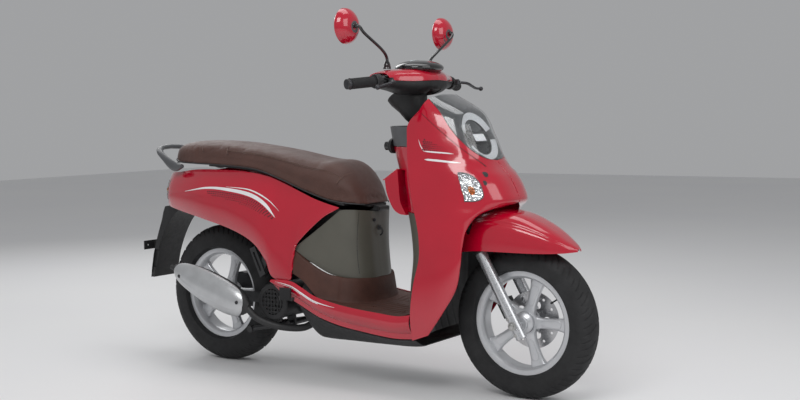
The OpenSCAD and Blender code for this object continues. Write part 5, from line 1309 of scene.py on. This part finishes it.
def build_meter():
    """Gloss meter dome with its sunken screen, rim and marks."""
    y, t = mesh_of(np.linspace(-84, 84, 90), np.linspace(0, 2 * math.pi, 72, endpoint=False))
    k = meter_width(y)
    s = np.sin(t)
    grid = np.stack([METER_X + METER_LONG * k * np.cos(t), y,
                     METER_Z + np.where(s > 0, METER_RISE, 22) * k * s], -1)
    make("meter_dome", [loft(grid)], "gloss_black", "steering", ("instrument_cluster",))

    def face(x, y_, lift):
        kk = meter_width(y_)
        c = np.clip((x - METER_X) / (METER_LONG * kk), -1, 1)
        return np.stack([x, y_, METER_Z + METER_RISE * kk * np.sqrt(1 - c * c) + lift], -1)
    a, b = mesh_of(np.linspace(244, METER_X, 30), np.linspace(-52, 52, 50))
    corner = np.clip((a - 244) / 54, 0, 1)
    screen = face(a, b * (.86 + .14 * np.sin(corner * math.pi)), .5)
    make("meter_screen", [sheet(screen, (290, 0, 1000), .6)], "screen", "steering")
    marks = []
    for y0 in np.linspace(-40, 40, 17):
        q, w = mesh_of(np.linspace(286, 291 + 2 * (abs(y0) % 20 < 1), 4), [y0 - .5, y0 + .5])
        marks.append(sheet(face(q, w, .9), (290, 0, 1000), .3))
    for x0, x1, y0, y1 in ((262, 278, -10, -8), (262, 278, -2, 0), (262, 278, 6, 8), (250, 256, -30, -14),
                           (250, 256, 16, 30)):
        q, w = mesh_of(np.linspace(x0, x1, 6), np.linspace(y0, y1, 4))
        marks.append(sheet(face(q, w, .9), (290, 0, 1000), .3))
    make("meter_marks", marks, "screen_mark", "steering")


def build_grips():
    """Grips with raised ribs between two collars, and turned bar ends."""
    rows = [[11.1, 0], [18.6, 0], [19.4, 1.2], [19.4, 3.4], [17.2, 4.2]]
    for k in range(17):
        z = 7 + k * 4.6
        rows += [[16.2, z - .9], [17.2, z], [17.2, z + 2.0], [16.2, z + 2.9]]
    rows += [[17.2, 86], [18.2, 88.4], [17.6, 89], [11.1, 89]]
    rows = np.array(rows)
    rows[:, 1] *= (322 - 233) / BAR_DIR[1] / 89
    for s, name, body in ((-1, "right", "throttle"), (1, "left", "steering")):
        p = bar_at(s, 233)
        make(f"{name}_grip_rubber", [lathe(rows, p, bar_at(s, 322) - p, 72)], "grip", body,
             (f"{name}_grip",))
        p = bar_at(s, 323.4)
        end = lathe([[0, 0], [15.6, 0], [16.4, 2], [16.4, 11], [15.2, 13], [8, 15.5], [0, 15.5]], p,
                    bar_at(s, 400) - p, 48, loop=False)
        make(f"bar_end_{name}", [end], "black_bolt", "steering")


def build_levers():
    """Tapered brake levers with ball ends, turning on their pins."""
    for s, name in SIDES:
        o = np.array([BAR_C[0] + 36, 203, BAR_C[2] - 2])
        path = smooth_path([(0, 0, 0), (24, 20, -4), (22, 54, -12), (18, 90, -20), (26, 112, -22)], 10) + o
        t = np.linspace(0, 1, len(path))
        far = np.linalg.norm((path - o)[:, :2], axis=1) > 8.2
        blade = tube(path[far], 7.4 - 2.6 * t[far], 5.0 - 1.0 * t[far], sides=18)
        hub = lathe([[4.05, -6], [9, -6], [9, 6], [4.05, 6]], o, (0, 0, 1), 40)
        tip = ball(path[-1], 7.8)
        make(f"brake_lever_{name}_blade", on_side([hub, blade, tip], s), "black_bolt", f"brake_lever_{name}",
             (f"brake_lever_{name}",))


MIRROR_R = 57.0
MIRROR_BASE = np.array([256, 128, 1046])
MIRROR_C = np.array([209, (box_mm("mirror_head_left")[0] + box_mm("mirror_head_left")[1])[1] / 2, 1182])


def build_mirrors():
    """Round mirror shells with an offset dark disc in front, glass behind, and bent stems with boots."""
    b, c = MIRROR_BASE, MIRROR_C
    for s, name in SIDES:
        rows = [b + [0, 0, 14], b + [2, 4, 40], (b[0] + 6, b[1] * .75 + c[1] * .25, 1112),
                (c[0] + 50, b[1] * .2 + c[1] * .8, 1158),
                (c[0] + 48, b[1] * .04 + c[1] * .96, 1178), (c[0] + 32, c[1], c[2])]
        path = smooth_path(rows, 12)
        boot = lathe([[0, 3.5], [13, 3.5], [13.6, 5], [12.4, 9], [13, 10.5], [11, 15], [11.6, 16.5],
                      [8.6, 25], [5.2, 30], [0, 30]], b,
                     (0, 0, 1), 48, loop=False)
        collar = lathe([[0, 0], [7.2, 0], [8, 1], [8, 8], [6.8, 10], [0, 10]], path[52], path[57] - path[52],
                       32, loop=False)
        make(f"mirror_stem_{name}_rod",
             on_side([tube(path, 5, side=(1, 0, 0), sides=20), boot, collar, ball(path[-1], 6.9)], s),
             "gloss_black", f"mirror_stem_{name}", (f"mirror_stem_{name}",))
        R = MIRROR_R
        ts = np.linspace(0, 1, 16)
        dome = np.stack([R - 1 - (R - 17) * ts**1.25, 4 + 28 * np.sin(ts * math.pi / 2) ** .85], -1)
        shell = np.concatenate([[[0, -3.2], [R - 6, -3.2], [R - 5, -6], [R - 2.5, -6], [R, -3]], dome,
                                [[16, 32], [8.2, 32], [7.4, 30.2], [6.0, 27.8], [0, 26]]])
        make(f"mirror_shell_{name}", on_side([lathe(shell, c, (1, 0, 0), 96, loop=False)], s), "paint",
             f"mirror_head_{name}", (f"mirror_head_{name}",))
        make(f"mirror_glass_{name}", on_side([lathe([[0, -3.1], [R - 6.2, -3.1], [R - 6.2, -4.6], [0, -5.2]],
                                                    c, (1, 0, 0), 96, loop=False)], s),
             "mirror", f"mirror_head_{name}")
        disc = lathe([[0, 28.5], [13, 28.5], [30, 24.2], [37, 19.5], [38, 21.5], [31, 27.6], [27, 28.6],
                      [26.4, 27.9], [25.2, 29.2], [17, 32.4], [13, 32.8]],
                     c + [0, -3, -3], (1, 0, 0), 80, loop=True)
        make(f"mirror_disc_{name}", on_side([disc], s), "trim", f"mirror_head_{name}")


# ---------------------------------------------------------------- fork and wheels
FENDER_TOP = [(470, 500), (486, 526), (510, 556), (547, 582), (592, 596), (640, 598), (700, 586), (756, 562),
              (800, 537),
              (835, 513), (860, 495), (874, 484)]
FENDER_LOW = [(470, 458), (547, 470), (640, 472), (756, 471), (835, 472), (874, 475)]
FENDER_W = [(470, 82), (510, 98), (547, 101), (640, 99), (700, 94), (756, 84), (800, 70), (835, 51),
            (860, 31), (874, 12)]


def fender_pt(x, v):
    """Front fender: a superellipse arch across, with a pressed crease low on each flank."""
    z0, z1, w = curve(FENDER_LOW, x), curve(FENDER_TOP, x), curve(FENDER_W, x)
    a = np.abs(v) * math.pi / 2
    crease = 2.2 * np.exp(-(((np.abs(v) - .62) / .05) ** 2)) * np.clip((x - 560) / 80, 0,
                                                                       1) * np.clip((850 - x) / 60, 0, 1)
    return np.stack([x + 0 * v, (w * np.sin(a).clip(0) ** .6 - crease) * np.sign(v),
                     z0 + (z1 - z0) * np.cos(a).clip(0) ** .6], -1)


def steering_frame(points):
    """The inverse of steered()."""
    q = points - STEER_O
    s, c = math.sin(CASTER), math.cos(CASTER)
    return np.stack([q[..., 0] * c + q[..., 2] * s, q[..., 1], -q[..., 0] * s + q[..., 2] * c], -1)


def build_fender():
    """Painted fender with a rolled lower edge, open only round the two fork tubes."""
    xs = 470 + 404 * (1 - np.cos(np.linspace(0, math.pi, 150))) / 2
    x, v = mesh_of(xs, np.linspace(-1, 1, 150))
    g = fender_pt(x, v)
    q = steering_frame(g)
    near = np.hypot(q[..., 0] - FORK_OFFSET, np.abs(q[..., 1]) - FORK_HALF) < 24
    make("front_fender_shell", [sheet(g, (650, 0, 400), keep=~near[:-1, :-1])], "paint", "steering",
         ("front_fender",),
         bevel=0.6)


def build_fork():
    """Silver sliders with caps and axle nuts, tubes and yoke, the drilled disc, the caliper and its hose."""
    polished("steering_stem", "frame")
    polished("fork_sliders", "fork")
    polished("brake_disc", "disc", 0.4)
    polished("brake_caliper", "engine", 1.6)
    h, r, cap = FORK_HALF, 18.0, []
    for s in (-1, 1):
        cap.append(lathe([[13.6, 0], [20.5, 0], [21.2, 1.5], [21.2, 8], [19.5, 11], [15.2, 14], [13.6, 14]],
                         steered([FORK_OFFSET, s * h, 251]), steered([0, 0, 1]) - steered([0, 0, 0]), 48))
    make("fork_dust_caps", cap, "plastic", "fork_lower")
    nuts = []
    for s in (-1, 1):
        nuts += bolt(steered([FORK_OFFSET, s * (h + r + 7.8), 0]), (0, s, 0), 9.5, 6)
        nuts += [lathe([[0, 0], [14, 0], [14, 2], [0, 2]], steered([FORK_OFFSET, s * (h + r + 5.8), 0]),
                       (0, s, 0), 40, loop=False)]
    for z in (-30, 26):
        nuts += bolt(steered([FORK_OFFSET - 8, -h - r + 1, z]), (0, -1, 0), 4, 3)
    make("fork_axle_nuts", nuts, "bolt", "fork_lower")
    pins = []
    for z in (56, 90):
        pins += bolt(steered([-34, h - 7.5, z]), (0, 1, 0), 5, 3.5)
    make("caliper_bolts", pins, "bolt", "fork_lower")
    hose = smooth_path([(-38, h - 8, 107), (-46, h - 10, 150), (-40, h - 6, 200), (-14, h - 2, 244),
                        (8, h, 247)], 10)
    make("brake_hose_line", [tube(steered(hose), 3.4, side=(0, 1, 0), sides=16)], "grip", "fork_lower",
         ("brake_hose",))


RIM_NARROWER = 34
TREAD_COUNT = 30
TREAD_DEPTH = 3.6
SPOKES = 5


def tyre_profile(r, w, count=13):
    """Half-round crown from bead to bead, then the inner seat."""
    a = np.linspace(-math.pi / 2, math.pi / 2, count)
    rr = 172 + (r - 172) * np.cos(a).clip(0) ** .7
    return np.stack([rr, w / 2 * signed_power(np.sin(a), .8)], -1)


def wheel_part(grid_r, grid_y, theta, hub):
    """Rows of radius and side, turned round the wheel's axle."""
    return np.stack([hub[0] + grid_r * np.cos(theta), hub[1] + grid_y, hub[2] + grid_r * np.sin(theta)], -1)


def build_tyre(node, body, hub, r, w):
    """Tyre: crown and sidewalls with two sets of diagonal tread grooves and a moulded bead line."""
    rw = w - RIM_NARROWER
    crown = tyre_profile(r, w, 53)
    inner = np.array([[165.6, w / 2 - 14], [165.6, rw / 2 - 4.8], [160.6, rw / 2 - 7.8], [164, rw / 2 - 22],
                      [164, -rw / 2 + 22], [160.6, -rw / 2 + 7.8], [165.6, -rw / 2 + 4.8],
                      [165.6, -w / 2 + 14]])
    p = np.concatenate([crown, inner])
    theta = np.linspace(0, 2 * math.pi, 1080, endpoint=False)
    rr, th = np.meshgrid(p[:, 0], theta, indexing="ij")
    yy = np.repeat(p[:, 1][:, None], len(theta), 1)
    s = np.clip(yy / (w / 2), -1, 1)

    def grooves(shift, half, low, high):
        """One set of slanting grooves, shifted by a share of the pitch, between two places on the section."""
        phase = (th * TREAD_COUNT / (2 * math.pi) + .55 * np.abs(s) ** .8 * 2.0 + np.where(s > 0, .5, 0)
                 + shift) % 1
        band = np.clip((np.abs(s) - low) / .05, 0, 1) * np.clip((high - np.abs(s)) / .05, 0, 1)
        return np.clip((half - np.abs(phase - .5)) / .03, 0, 1) * band

    groove = np.maximum(grooves(0, .085, .14, .86), grooves(.5, .06, .5, .9))
    outer = (np.arange(len(p)) < len(crown))[:, None]
    rr = rr - TREAD_DEPTH * groove * outer
    bead = np.exp(-(((p[:, 0] - 183) / 1.6) ** 2))[:, None] * outer
    yy = yy + np.sign(yy) * 1.0 * bead
    grid = wheel_part(rr, yy, th, hub)
    faces = quads(len(p), len(theta), loop_u=True, loop_v=True)
    make(f"{node}_rubber", [(grid.reshape(-1, 3), faces)], "tyre", body, (node,), sharp=60)


def build_rim(node, body, hub, w, hub_w, bore):
    """Cast rim: double lip, five flared spokes with raised rounded pads, a stepped hub and a valve."""
    hw = (w - RIM_NARROWER) / 2
    barrel = [[146, -hw + 6], [150, -hw + 1.5], [161, -hw - .0], [165, -hw], [165, -hw + 4],
              [161, -hw + 6.4], [152, -hw + 20], [152, hw - 20],
              [161, hw - 6.4], [165, hw - 4], [165, hw], [161, hw], [150, hw - 1.5], [146, hw - 6],
              [143, hw - 10], [142, hw - 18], [142, -hw + 18], [143, -hw + 10]]
    parts = [lathe(barrel, hub, (0, 1, 0), 180)]
    half = hub_w / 2
    parts.append(lathe([[bore, -half], [20, -half], [22, -half + 2], [22, -half + 9], [31, -half + 14],
                        [34, -half + 17], [34, half - 17],
                        [31, half - 14], [22, half - 9], [22, half - 2], [20, half], [bore, half]], hub,
                       (0, 1, 0), 96))
    spoke_r = np.linspace(30, 147, 40)
    a = np.linspace(0, 2 * math.pi, 40, endpoint=False)
    for k in range(SPOKES):
        turn = math.radians(360 / SPOKES * k)
        wide = curve([(30, 23), (60, 17), (110, 19), (135, 25), (147, 33)], spoke_r)
        deep = curve([(30, 14), (60, 11), (120, 11), (147, 13)], spoke_r)
        across = wide[:, None] * signed_power(np.cos(a), .55)
        axial = deep[:, None] * signed_power(np.sin(a), .55)
        rad = np.repeat(spoke_r[:, None], len(a), 1)
        parts.append(loft(spoke_grid(rad, across, axial, turn, hub)))
        for s in (-1, 1):
            pr = np.linspace(0, 1, 24)
            pad_r = 56 + 70 * pr
            end = np.sqrt(np.clip(1 - (2 * pr - 1) ** 8, .02, 1))
            pad_w = (8.5 + 5.5 * pr) * end
            b = np.linspace(0, 2 * math.pi, 28, endpoint=False)
            across = pad_w[:, None] * signed_power(np.cos(b), .6)
            axial = s * (10.5 + 2.6 * np.clip(signed_power(np.sin(b), .5), -.4, 1)) + 0 * across
            parts.append(loft(spoke_grid(np.repeat(pad_r[:, None], len(b), 1), across, axial, turn, hub)))
    for s in (-1, 1):
        parts.append(lathe([[36, s * 12], [43, s * 12], [44, s * 14.5], [37, s * 15.5], [35, s * 15]], hub,
                           (0, 1, 0), 96))
    make(f"{node}_casting", parts, "alloy", body, (node,))
    v = math.radians(36)
    direction = np.array([math.cos(v), 0, math.sin(v)])
    make(f"{node}_valve", [lathe([[0, -2], [3.6, -2], [3.6, 6], [2.6, 8], [2.6, 24], [3.4, 25], [3.4, 31],
                                  [2.6, 33], [0, 33]],
                                 hub + direction * 143, -direction + np.array([0, -.5, 0]), 20, loop=False)],
         "grip", body)


def spoke_grid(rad, across, axial, turn, hub):
    """Spoke rows (radius, across, along the axle) turned to the spoke's angle."""
    x = rad * math.cos(turn) - across * math.sin(turn)
    z = rad * math.sin(turn) + across * math.cos(turn)
    return np.stack([hub[0] + x, hub[1] + axial, hub[2] + z], -1)


# ---------------------------------------------------------------- engine, muffler and rear parts
MUFFLER_Y = -176.0
MUFFLER_LINE = [(-314, 232), (-338, 242), (-374, 254), (-434, 274), (-504, 298), (-574, 322), (-630, 341),
                (-668, 353)]
MUFFLER_R = [(0, 16), (1, 38), (2, 50), (3, 56), (4, 55), (5, 47), (6, 34), (7, 12)]


def muffler_pt(t, a, d):
    """Flattened round section along the muffler's line, grown outwards by d."""
    p = curve(list(enumerate(MUFFLER_LINE)), t)
    r = curve(MUFFLER_R, t)
    s, c = np.sin(a), np.cos(a)
    return np.stack([p[..., 0] + .25 * r * s, MUFFLER_Y + (.68 * r + d) * c, p[..., 1] + (r + d) * s], -1)


def build_muffler():
    """Black muffler with its end seams, pipe and outlet, under a tapered heat shield with a pressed crease."""
    t, a = mesh_of(np.linspace(0, 7, 90), np.linspace(0, 2 * math.pi, 72, endpoint=False))
    seam = 1.2 * (np.exp(-(((t - .9) / .05) ** 2)) + np.exp(-(((t - 6.2) / .05) ** 2)))
    body = loft(muffler_pt(t, a, seam - .6))
    pipe = tube(smooth_path([(-322, MUFFLER_Y, 232), (-286, MUFFLER_Y + 14, 196), (-226, -132, 170),
                             (-160, -70, 160), (-124, -20, 186)], 12),
                12.6, side=(0, 1, 0), sides=24)
    tail = rod((-664, MUFFLER_Y, 352), (-684, MUFFLER_Y, 357), 9)
    make("muffler_body", [body, pipe, tail], "muffler", "engine_unit", ("muffler",))
    t, k = mesh_of(np.linspace(.5, 6.5, 110), np.linspace(-1, 1, 60))
    spread_a = 78 * np.sqrt(np.clip(1 - np.abs((t - 3.5) / 3.02) ** 4, .04, 1))
    a = np.radians(180 + spread_a * k)
    crease = 1.6 * np.exp(-(((k - .30) / .07) ** 2)) * np.clip((t - 1) / .8, 0, 1) * np.clip((6.2 - t) / .8,
                                                                                             0, 1)
    fold = -1.8 * np.clip((np.abs(k) - .94) / .06, 0, 1) ** 2
    make("muffler_shield_plate",
         [sheet(muffler_pt(t, a, 5.4 + crease + fold), (-500, MUFFLER_Y + 40, 300), 2.4)], "shield",
         "engine_unit", ("muffler_shield",), bevel=0.4)
    bolts = []
    for tt, kk in ((1.25, -.2), (5.7, .15)):
        ang = math.radians(180 + 60 * kk)
        p = muffler_pt(np.array(tt), np.array(ang), 5.2)
        bolts += bolt(p, (0, math.cos(ang), math.sin(ang)), 5, 3.5)
    make("muffler_shield_bolts", bolts, "black_bolt", "engine_unit")


def helix(centre_a, centre_b, r, turns, wire, n=40):
    """Coil spring wire: a circle carried along the axis, flattened at both ends."""
    axis = centre_b - centre_a
    a, b, _ = frame_of(axis)
    t = np.linspace(0, turns * 2 * math.pi, int(turns * n))
    along = np.clip((t / t[-1] - .06) / .88, 0, 1)
    p = centre_a + along[:, None] * axis + r * (np.cos(t)[:, None] * a + np.sin(t)[:, None] * b)
    inset = unit(axis) * wire
    p = p + inset * (1 - 2 * along)[:, None]
    return tube(p, wire, side=unit(axis), sides=12)


def build_shock():
    """Damper body and rod with a red coil spring between its two seats."""
    top, low = np.array([-430, 96, 590.0]), np.array([-500, 96, 345.0])
    polished("shock_upper", "shock")
    polished("shock_lower", "shock")
    make("shock_spring_coil", [helix(top + (low - top) * .11, top + (low - top) * .63, 20.5, 8, 3.4)],
         "spring", "shock_upper",
         ("shock_spring",))


FAN_C = (-233.0, 256.0)


def build_engine():
    """Castings with cooling fins, cover bolts, ribs, the round fan guard and the rear axle nut."""
    polished("engine", "engine", 1.6)
    polished("fan_cover", "plastic", 0.8)
    cx, cz = FAN_C
    fins = []
    for k in range(9):
        x0 = -138 + 10 * k
        fins.append(block((x0, -57, cz - 58), (x0 + 3, 45, cz + 20)))
    make("cylinder_fins", fins, "bare_alloy", "engine_unit", bevel=0.8)
    ring = [lathe([[46, -145.5], [60, -145.5], [64, -141], [64, -119], [60, -117], [46, -143]], (cx, 0, cz),
                  (0, 1, 0), 96)]
    for r in (14, 28, 41):
        ring.append(lathe([[r - 1.2, -146], [r + 1.2, -146], [r + 1.2, -143], [r - 1.2, -143]], (cx, 0, cz),
                          (0, 1, 0), 64))
    make("fan_guard", ring, "plastic", "engine_unit", bevel=0.5)
    heads = []
    for x, z in ((-233, 326), (-300, 330), (-390, 322), (-480, 314), (-552, 312), (-233, 188), (-310, 184),
                 (-400, 184), (-490, 188), (-552, 192)):
        heads += bolt((x, 131.5, z), (0, 1, 0), 4.5, 3)
    heads += bolt((cx, 131.5, cz), (0, 1, 0), 12, 6)
    make("case_bolts", heads, "bolt", "engine_unit")
    ribs = []
    for z in np.linspace(-30, 30, 5):
        ribs.append(block((-470, 131, cz - 4 + z), (-330, 133.4, cz - .5 + z)))
    make("case_ribs", ribs, "engine", "engine_unit", bevel=0.6)
    nut = [lathe([[0, 0], [15, 0], [15, 2], [0, 2]], (REAR_HUB[0], -78, REAR_R), (0, -1, 0), 40, loop=False),
           *bolt((REAR_HUB[0], -79.5, REAR_R), (0, -1, 0), 10, 7)]
    nut.append(rod((REAR_HUB[0], -60, REAR_R), (REAR_HUB[0], -79, REAR_R), 8))
    make("rear_axle_nut", nut, "bolt", "engine_unit")


def build_frame_parts():
    """Frame, tank, luggage box and the small dark parts, each finished from its own solid."""
    for node, key, edge, slot in (
            ("frame", "frame", .6, "frame_paint"), ("luggage_box", "plastic", .8, "black_plastic"),
                                  ("fuel_tank", "tank", 3.0, "tank_steel"),
            ("fuel_cap", "plastic", 1.0, "black_plastic"), ("seat_pan", "plastic", 1.0, "black_plastic"),
            ("rear_mudguard", "plastic", 1.2, "black_plastic"),
                                  ("ignition_knob", "gloss_black", 1.5, "black_plastic"),
            ("pillion_step_right", "grip", 1.6, "black_plastic"),
                                  ("pillion_step_left", "grip", 1.6, "black_plastic"),
            ("handlebar", "frame", .6, "frame_paint"), ("starter_button", "trim", .6, None),
                                  ("horn_button", "trim", .6, None),
            ("indicator_switch", "trim", .8, None), ("centre_stand", "frame", .8, "frame_paint"),
                                  ("side_stand", "frame", .8, "frame_paint")):
        polished(node, key, edge)


# ---------------------------------------------------------------- settings and operators
class ScooterLook(bpy.types.PropertyGroup):
    """Colours of the scooter's main finishes."""
    paint: FloatVectorProperty(name="Paint", description="Colour of the painted covers", subtype="COLOR",
                               size=3,
                               min=0, max=1, default=(0.47, 0.001, 0.020))
    vinyl: FloatVectorProperty(name="Seat vinyl", description="Colour of the seat cover", subtype="COLOR",
                               size=3,
                               min=0, max=1, default=(0.088, 0.036, 0.026))
    bronze: FloatVectorProperty(name="Bronze plastic", description="Colour of the middle covers",
                                subtype="COLOR", size=3,
                                min=0, max=1, default=(0.102, 0.098, 0.08))
    alloy: FloatVectorProperty(name="Alloy", description="Colour of the wheels and fork", subtype="COLOR",
                               size=3,
                               min=0, max=1, default=(0.62, 0.63, 0.65))


class ScooterStage(bpy.types.PropertyGroup):
    """Camera and light of the stage."""
    lens: FloatProperty(name="Lens", description="Focal length of the camera", default=54.5, unit="CAMERA")
    key: FloatProperty(name="Key light", description="Strength of the main softbox", default=70.0,
                       unit="POWER")
    world: FloatProperty(name="World light", description="Strength of the surrounding light", default=0.38)


OPERATORS = []


def operator(idname, label, build, text):
    """One operator that runs a group's build function and reports a failure as an error."""
    def execute(self, context):
        build()
        return {"FINISHED"}
    name = "SCOOTER_OT_" + idname
    cls = type(name, (bpy.types.Operator,),
               {"bl_idname": "scooter." + idname, "bl_label": label, "__doc__": text, "execute": execute})
    OPERATORS.append(cls)
    return cls


def build_stage():
    """Pale floor, three softboxes, an even world and the camera."""
    scene = bpy.context.scene
    look = scene.scooter_stage
    bpy.ops.mesh.primitive_plane_add(size=24)
    floor = bpy.context.object
    floor.name = "studio_floor"
    material, tree, shader = node_tree("studio floor")
    tone = tinted(tree, spread(tree, noise(tree, 0.7, 2), 0.3, 0.7, 0, 1), (0.78, 0.78, 0.79),
                  (0.8, 0.8, 0.8))
    tree.links.new(tone, shader.inputs["Base Color"])
    shader.inputs["Roughness"].default_value = 0.75
    floor.data.materials.append(material)
    world = bpy.data.worlds.new("studio world")
    world.use_nodes = True
    world.node_tree.nodes["Background"].inputs["Color"].default_value = (0.93, 0.94, 0.96, 1)
    world.node_tree.nodes["Background"].inputs["Strength"].default_value = look.world
    scene.world = world
    scene.view_settings.view_transform = "Standard"
    for name, place, size, power in (("key softbox", (1.2, -3.2, 3.4), (2.6, 1.6), look.key),
                                     ("fill softbox", (3.6, -0.6, 2.2), (2.2, 2.2), look.key * .45),
                                     ("rear softbox", (-3.2, 1.8, 2.8), (2.4, 2.0), look.key * .5),
                                     ("top softbox", (0, 0.4, 3.8), (3.4, 1.6), look.key * .5)):
        data = bpy.data.lights.new(name, "AREA")
        data.shape = "RECTANGLE"
        data.size, data.size_y = size
        data.energy = power
        lamp = bpy.data.objects.new(name, data)
        bpy.context.scene.collection.objects.link(lamp)
        lamp.location = place
        lamp.rotation_euler = (Vector((0, 0, 0.6)) - Vector(place)).to_track_quat("-Z", "Y").to_euler()
    data = bpy.data.cameras.new("camera")
    data.lens = look.lens
    data.sensor_width = 36
    camera = bpy.data.objects.new("camera", data)
    bpy.context.scene.collection.objects.link(camera)
    yaw, pitch, roll = math.radians(33.9), math.radians(4.2), math.radians(-0.85)
    ahead = Vector((-math.sin(yaw) * math.cos(pitch), math.cos(yaw) * math.cos(pitch), -math.sin(pitch)))
    camera.location = (2.4788, -3.3722, 0.9137)
    aim = ahead.to_track_quat("-Z", "Y").to_matrix()
    camera.rotation_euler = (aim @ Matrix.Rotation(roll, 3, "Z")).to_euler()
    scene.camera = camera


def build_wheels():
    """Both tyres and both cast rims."""
    build_tyre("front_tyre", "front_wheel", FRONT_HUB, FRONT_R, 100)
    build_tyre("rear_tyre", "rear_wheel", REAR_HUB, REAR_R, 110)
    build_rim("front_rim", "front_wheel", FRONT_HUB, 100, 84, 6.05)
    build_rim("rear_rim", "rear_wheel", REAR_HUB, 110, 96, 8.05)


GROUPS = (
    ("stage", "Stage", build_stage), ("apron", "Front cover", build_apron),
          ("apron_marks", "Front cover marks", build_apron_marks),
    ("indicators", "Turn signals", build_indicators), ("headlamp", "Headlamp", build_headlamp),
          ("leg_shield", "Leg shield", build_leg_shield),
    ("inner_fender", "Splash guard", build_inner_fender), ("floor_mat", "Floor mat", build_floor_mat),
          ("side_rails", "Side rails", build_side_rails),
    ("belly", "Belly tray", build_belly), ("centre_cover", "Centre cover", build_centre_cover),
          ("side_panels", "Side covers", build_side_panels),
    ("tail_lamp", "Tail lamp", build_tail_lamp), ("grab_rail", "Grab rail", build_grab_rail),
          ("seat", "Seat", build_seat),
    ("frame_parts", "Frame and small parts", build_frame_parts),
          ("bar_covers", "Bar covers", build_bar_covers), ("meter", "Meter", build_meter),
    ("grips", "Grips", build_grips), ("levers", "Brake levers", build_levers),
          ("mirrors", "Mirrors", build_mirrors),
    ("fender", "Front fender", build_fender), ("fork", "Fork", build_fork),
          ("wheels", "Wheels", build_wheels),
    ("engine", "Engine", build_engine), ("muffler", "Muffler", build_muffler),
          ("shock", "Shock absorber", build_shock),
)
for _name, _label, _build in GROUPS:
    operator(_name, _label, _build, _build.__doc__)


class SCOOTER_PT_panel(bpy.types.Panel):
    """Sidebar panel that lists the scooter's colours and its build steps."""
    bl_label = "Scooter"
    bl_idname = "SCOOTER_PT_panel"
    bl_space_type = "VIEW_3D"
    bl_region_type = "UI"
    bl_category = "Scooter"

    def draw(self, context):
        for group in (context.scene.scooter_look, context.scene.scooter_stage):
            for key in group.__annotations__:
                self.layout.prop(group, key)
        for cls in OPERATORS:
            self.layout.operator(cls.bl_idname)


CLASSES = [ScooterLook, ScooterStage, *OPERATORS, SCOOTER_PT_panel]


def register():
    """Adds the classes and the two property groups to Blender."""
    for cls in CLASSES:
        bpy.utils.register_class(cls)
    bpy.types.Scene.scooter_look = PointerProperty(type=ScooterLook)
    bpy.types.Scene.scooter_stage = PointerProperty(type=ScooterStage)


def unregister():
    """Takes out what register() added."""
    del bpy.types.Scene.scooter_stage
    del bpy.types.Scene.scooter_look
    for cls in reversed(CLASSES):
        bpy.utils.unregister_class(cls)


def main():
    """Builds the finishes and every group, then writes the two overall boxes."""
    register()
    build_finishes(bpy.context.scene.scooter_look)
    for cls in OPERATORS:
        group, name = cls.bl_idname.split(".")
        getattr(getattr(bpy.ops, group), name)()


if __name__ == "__main__":
    main()
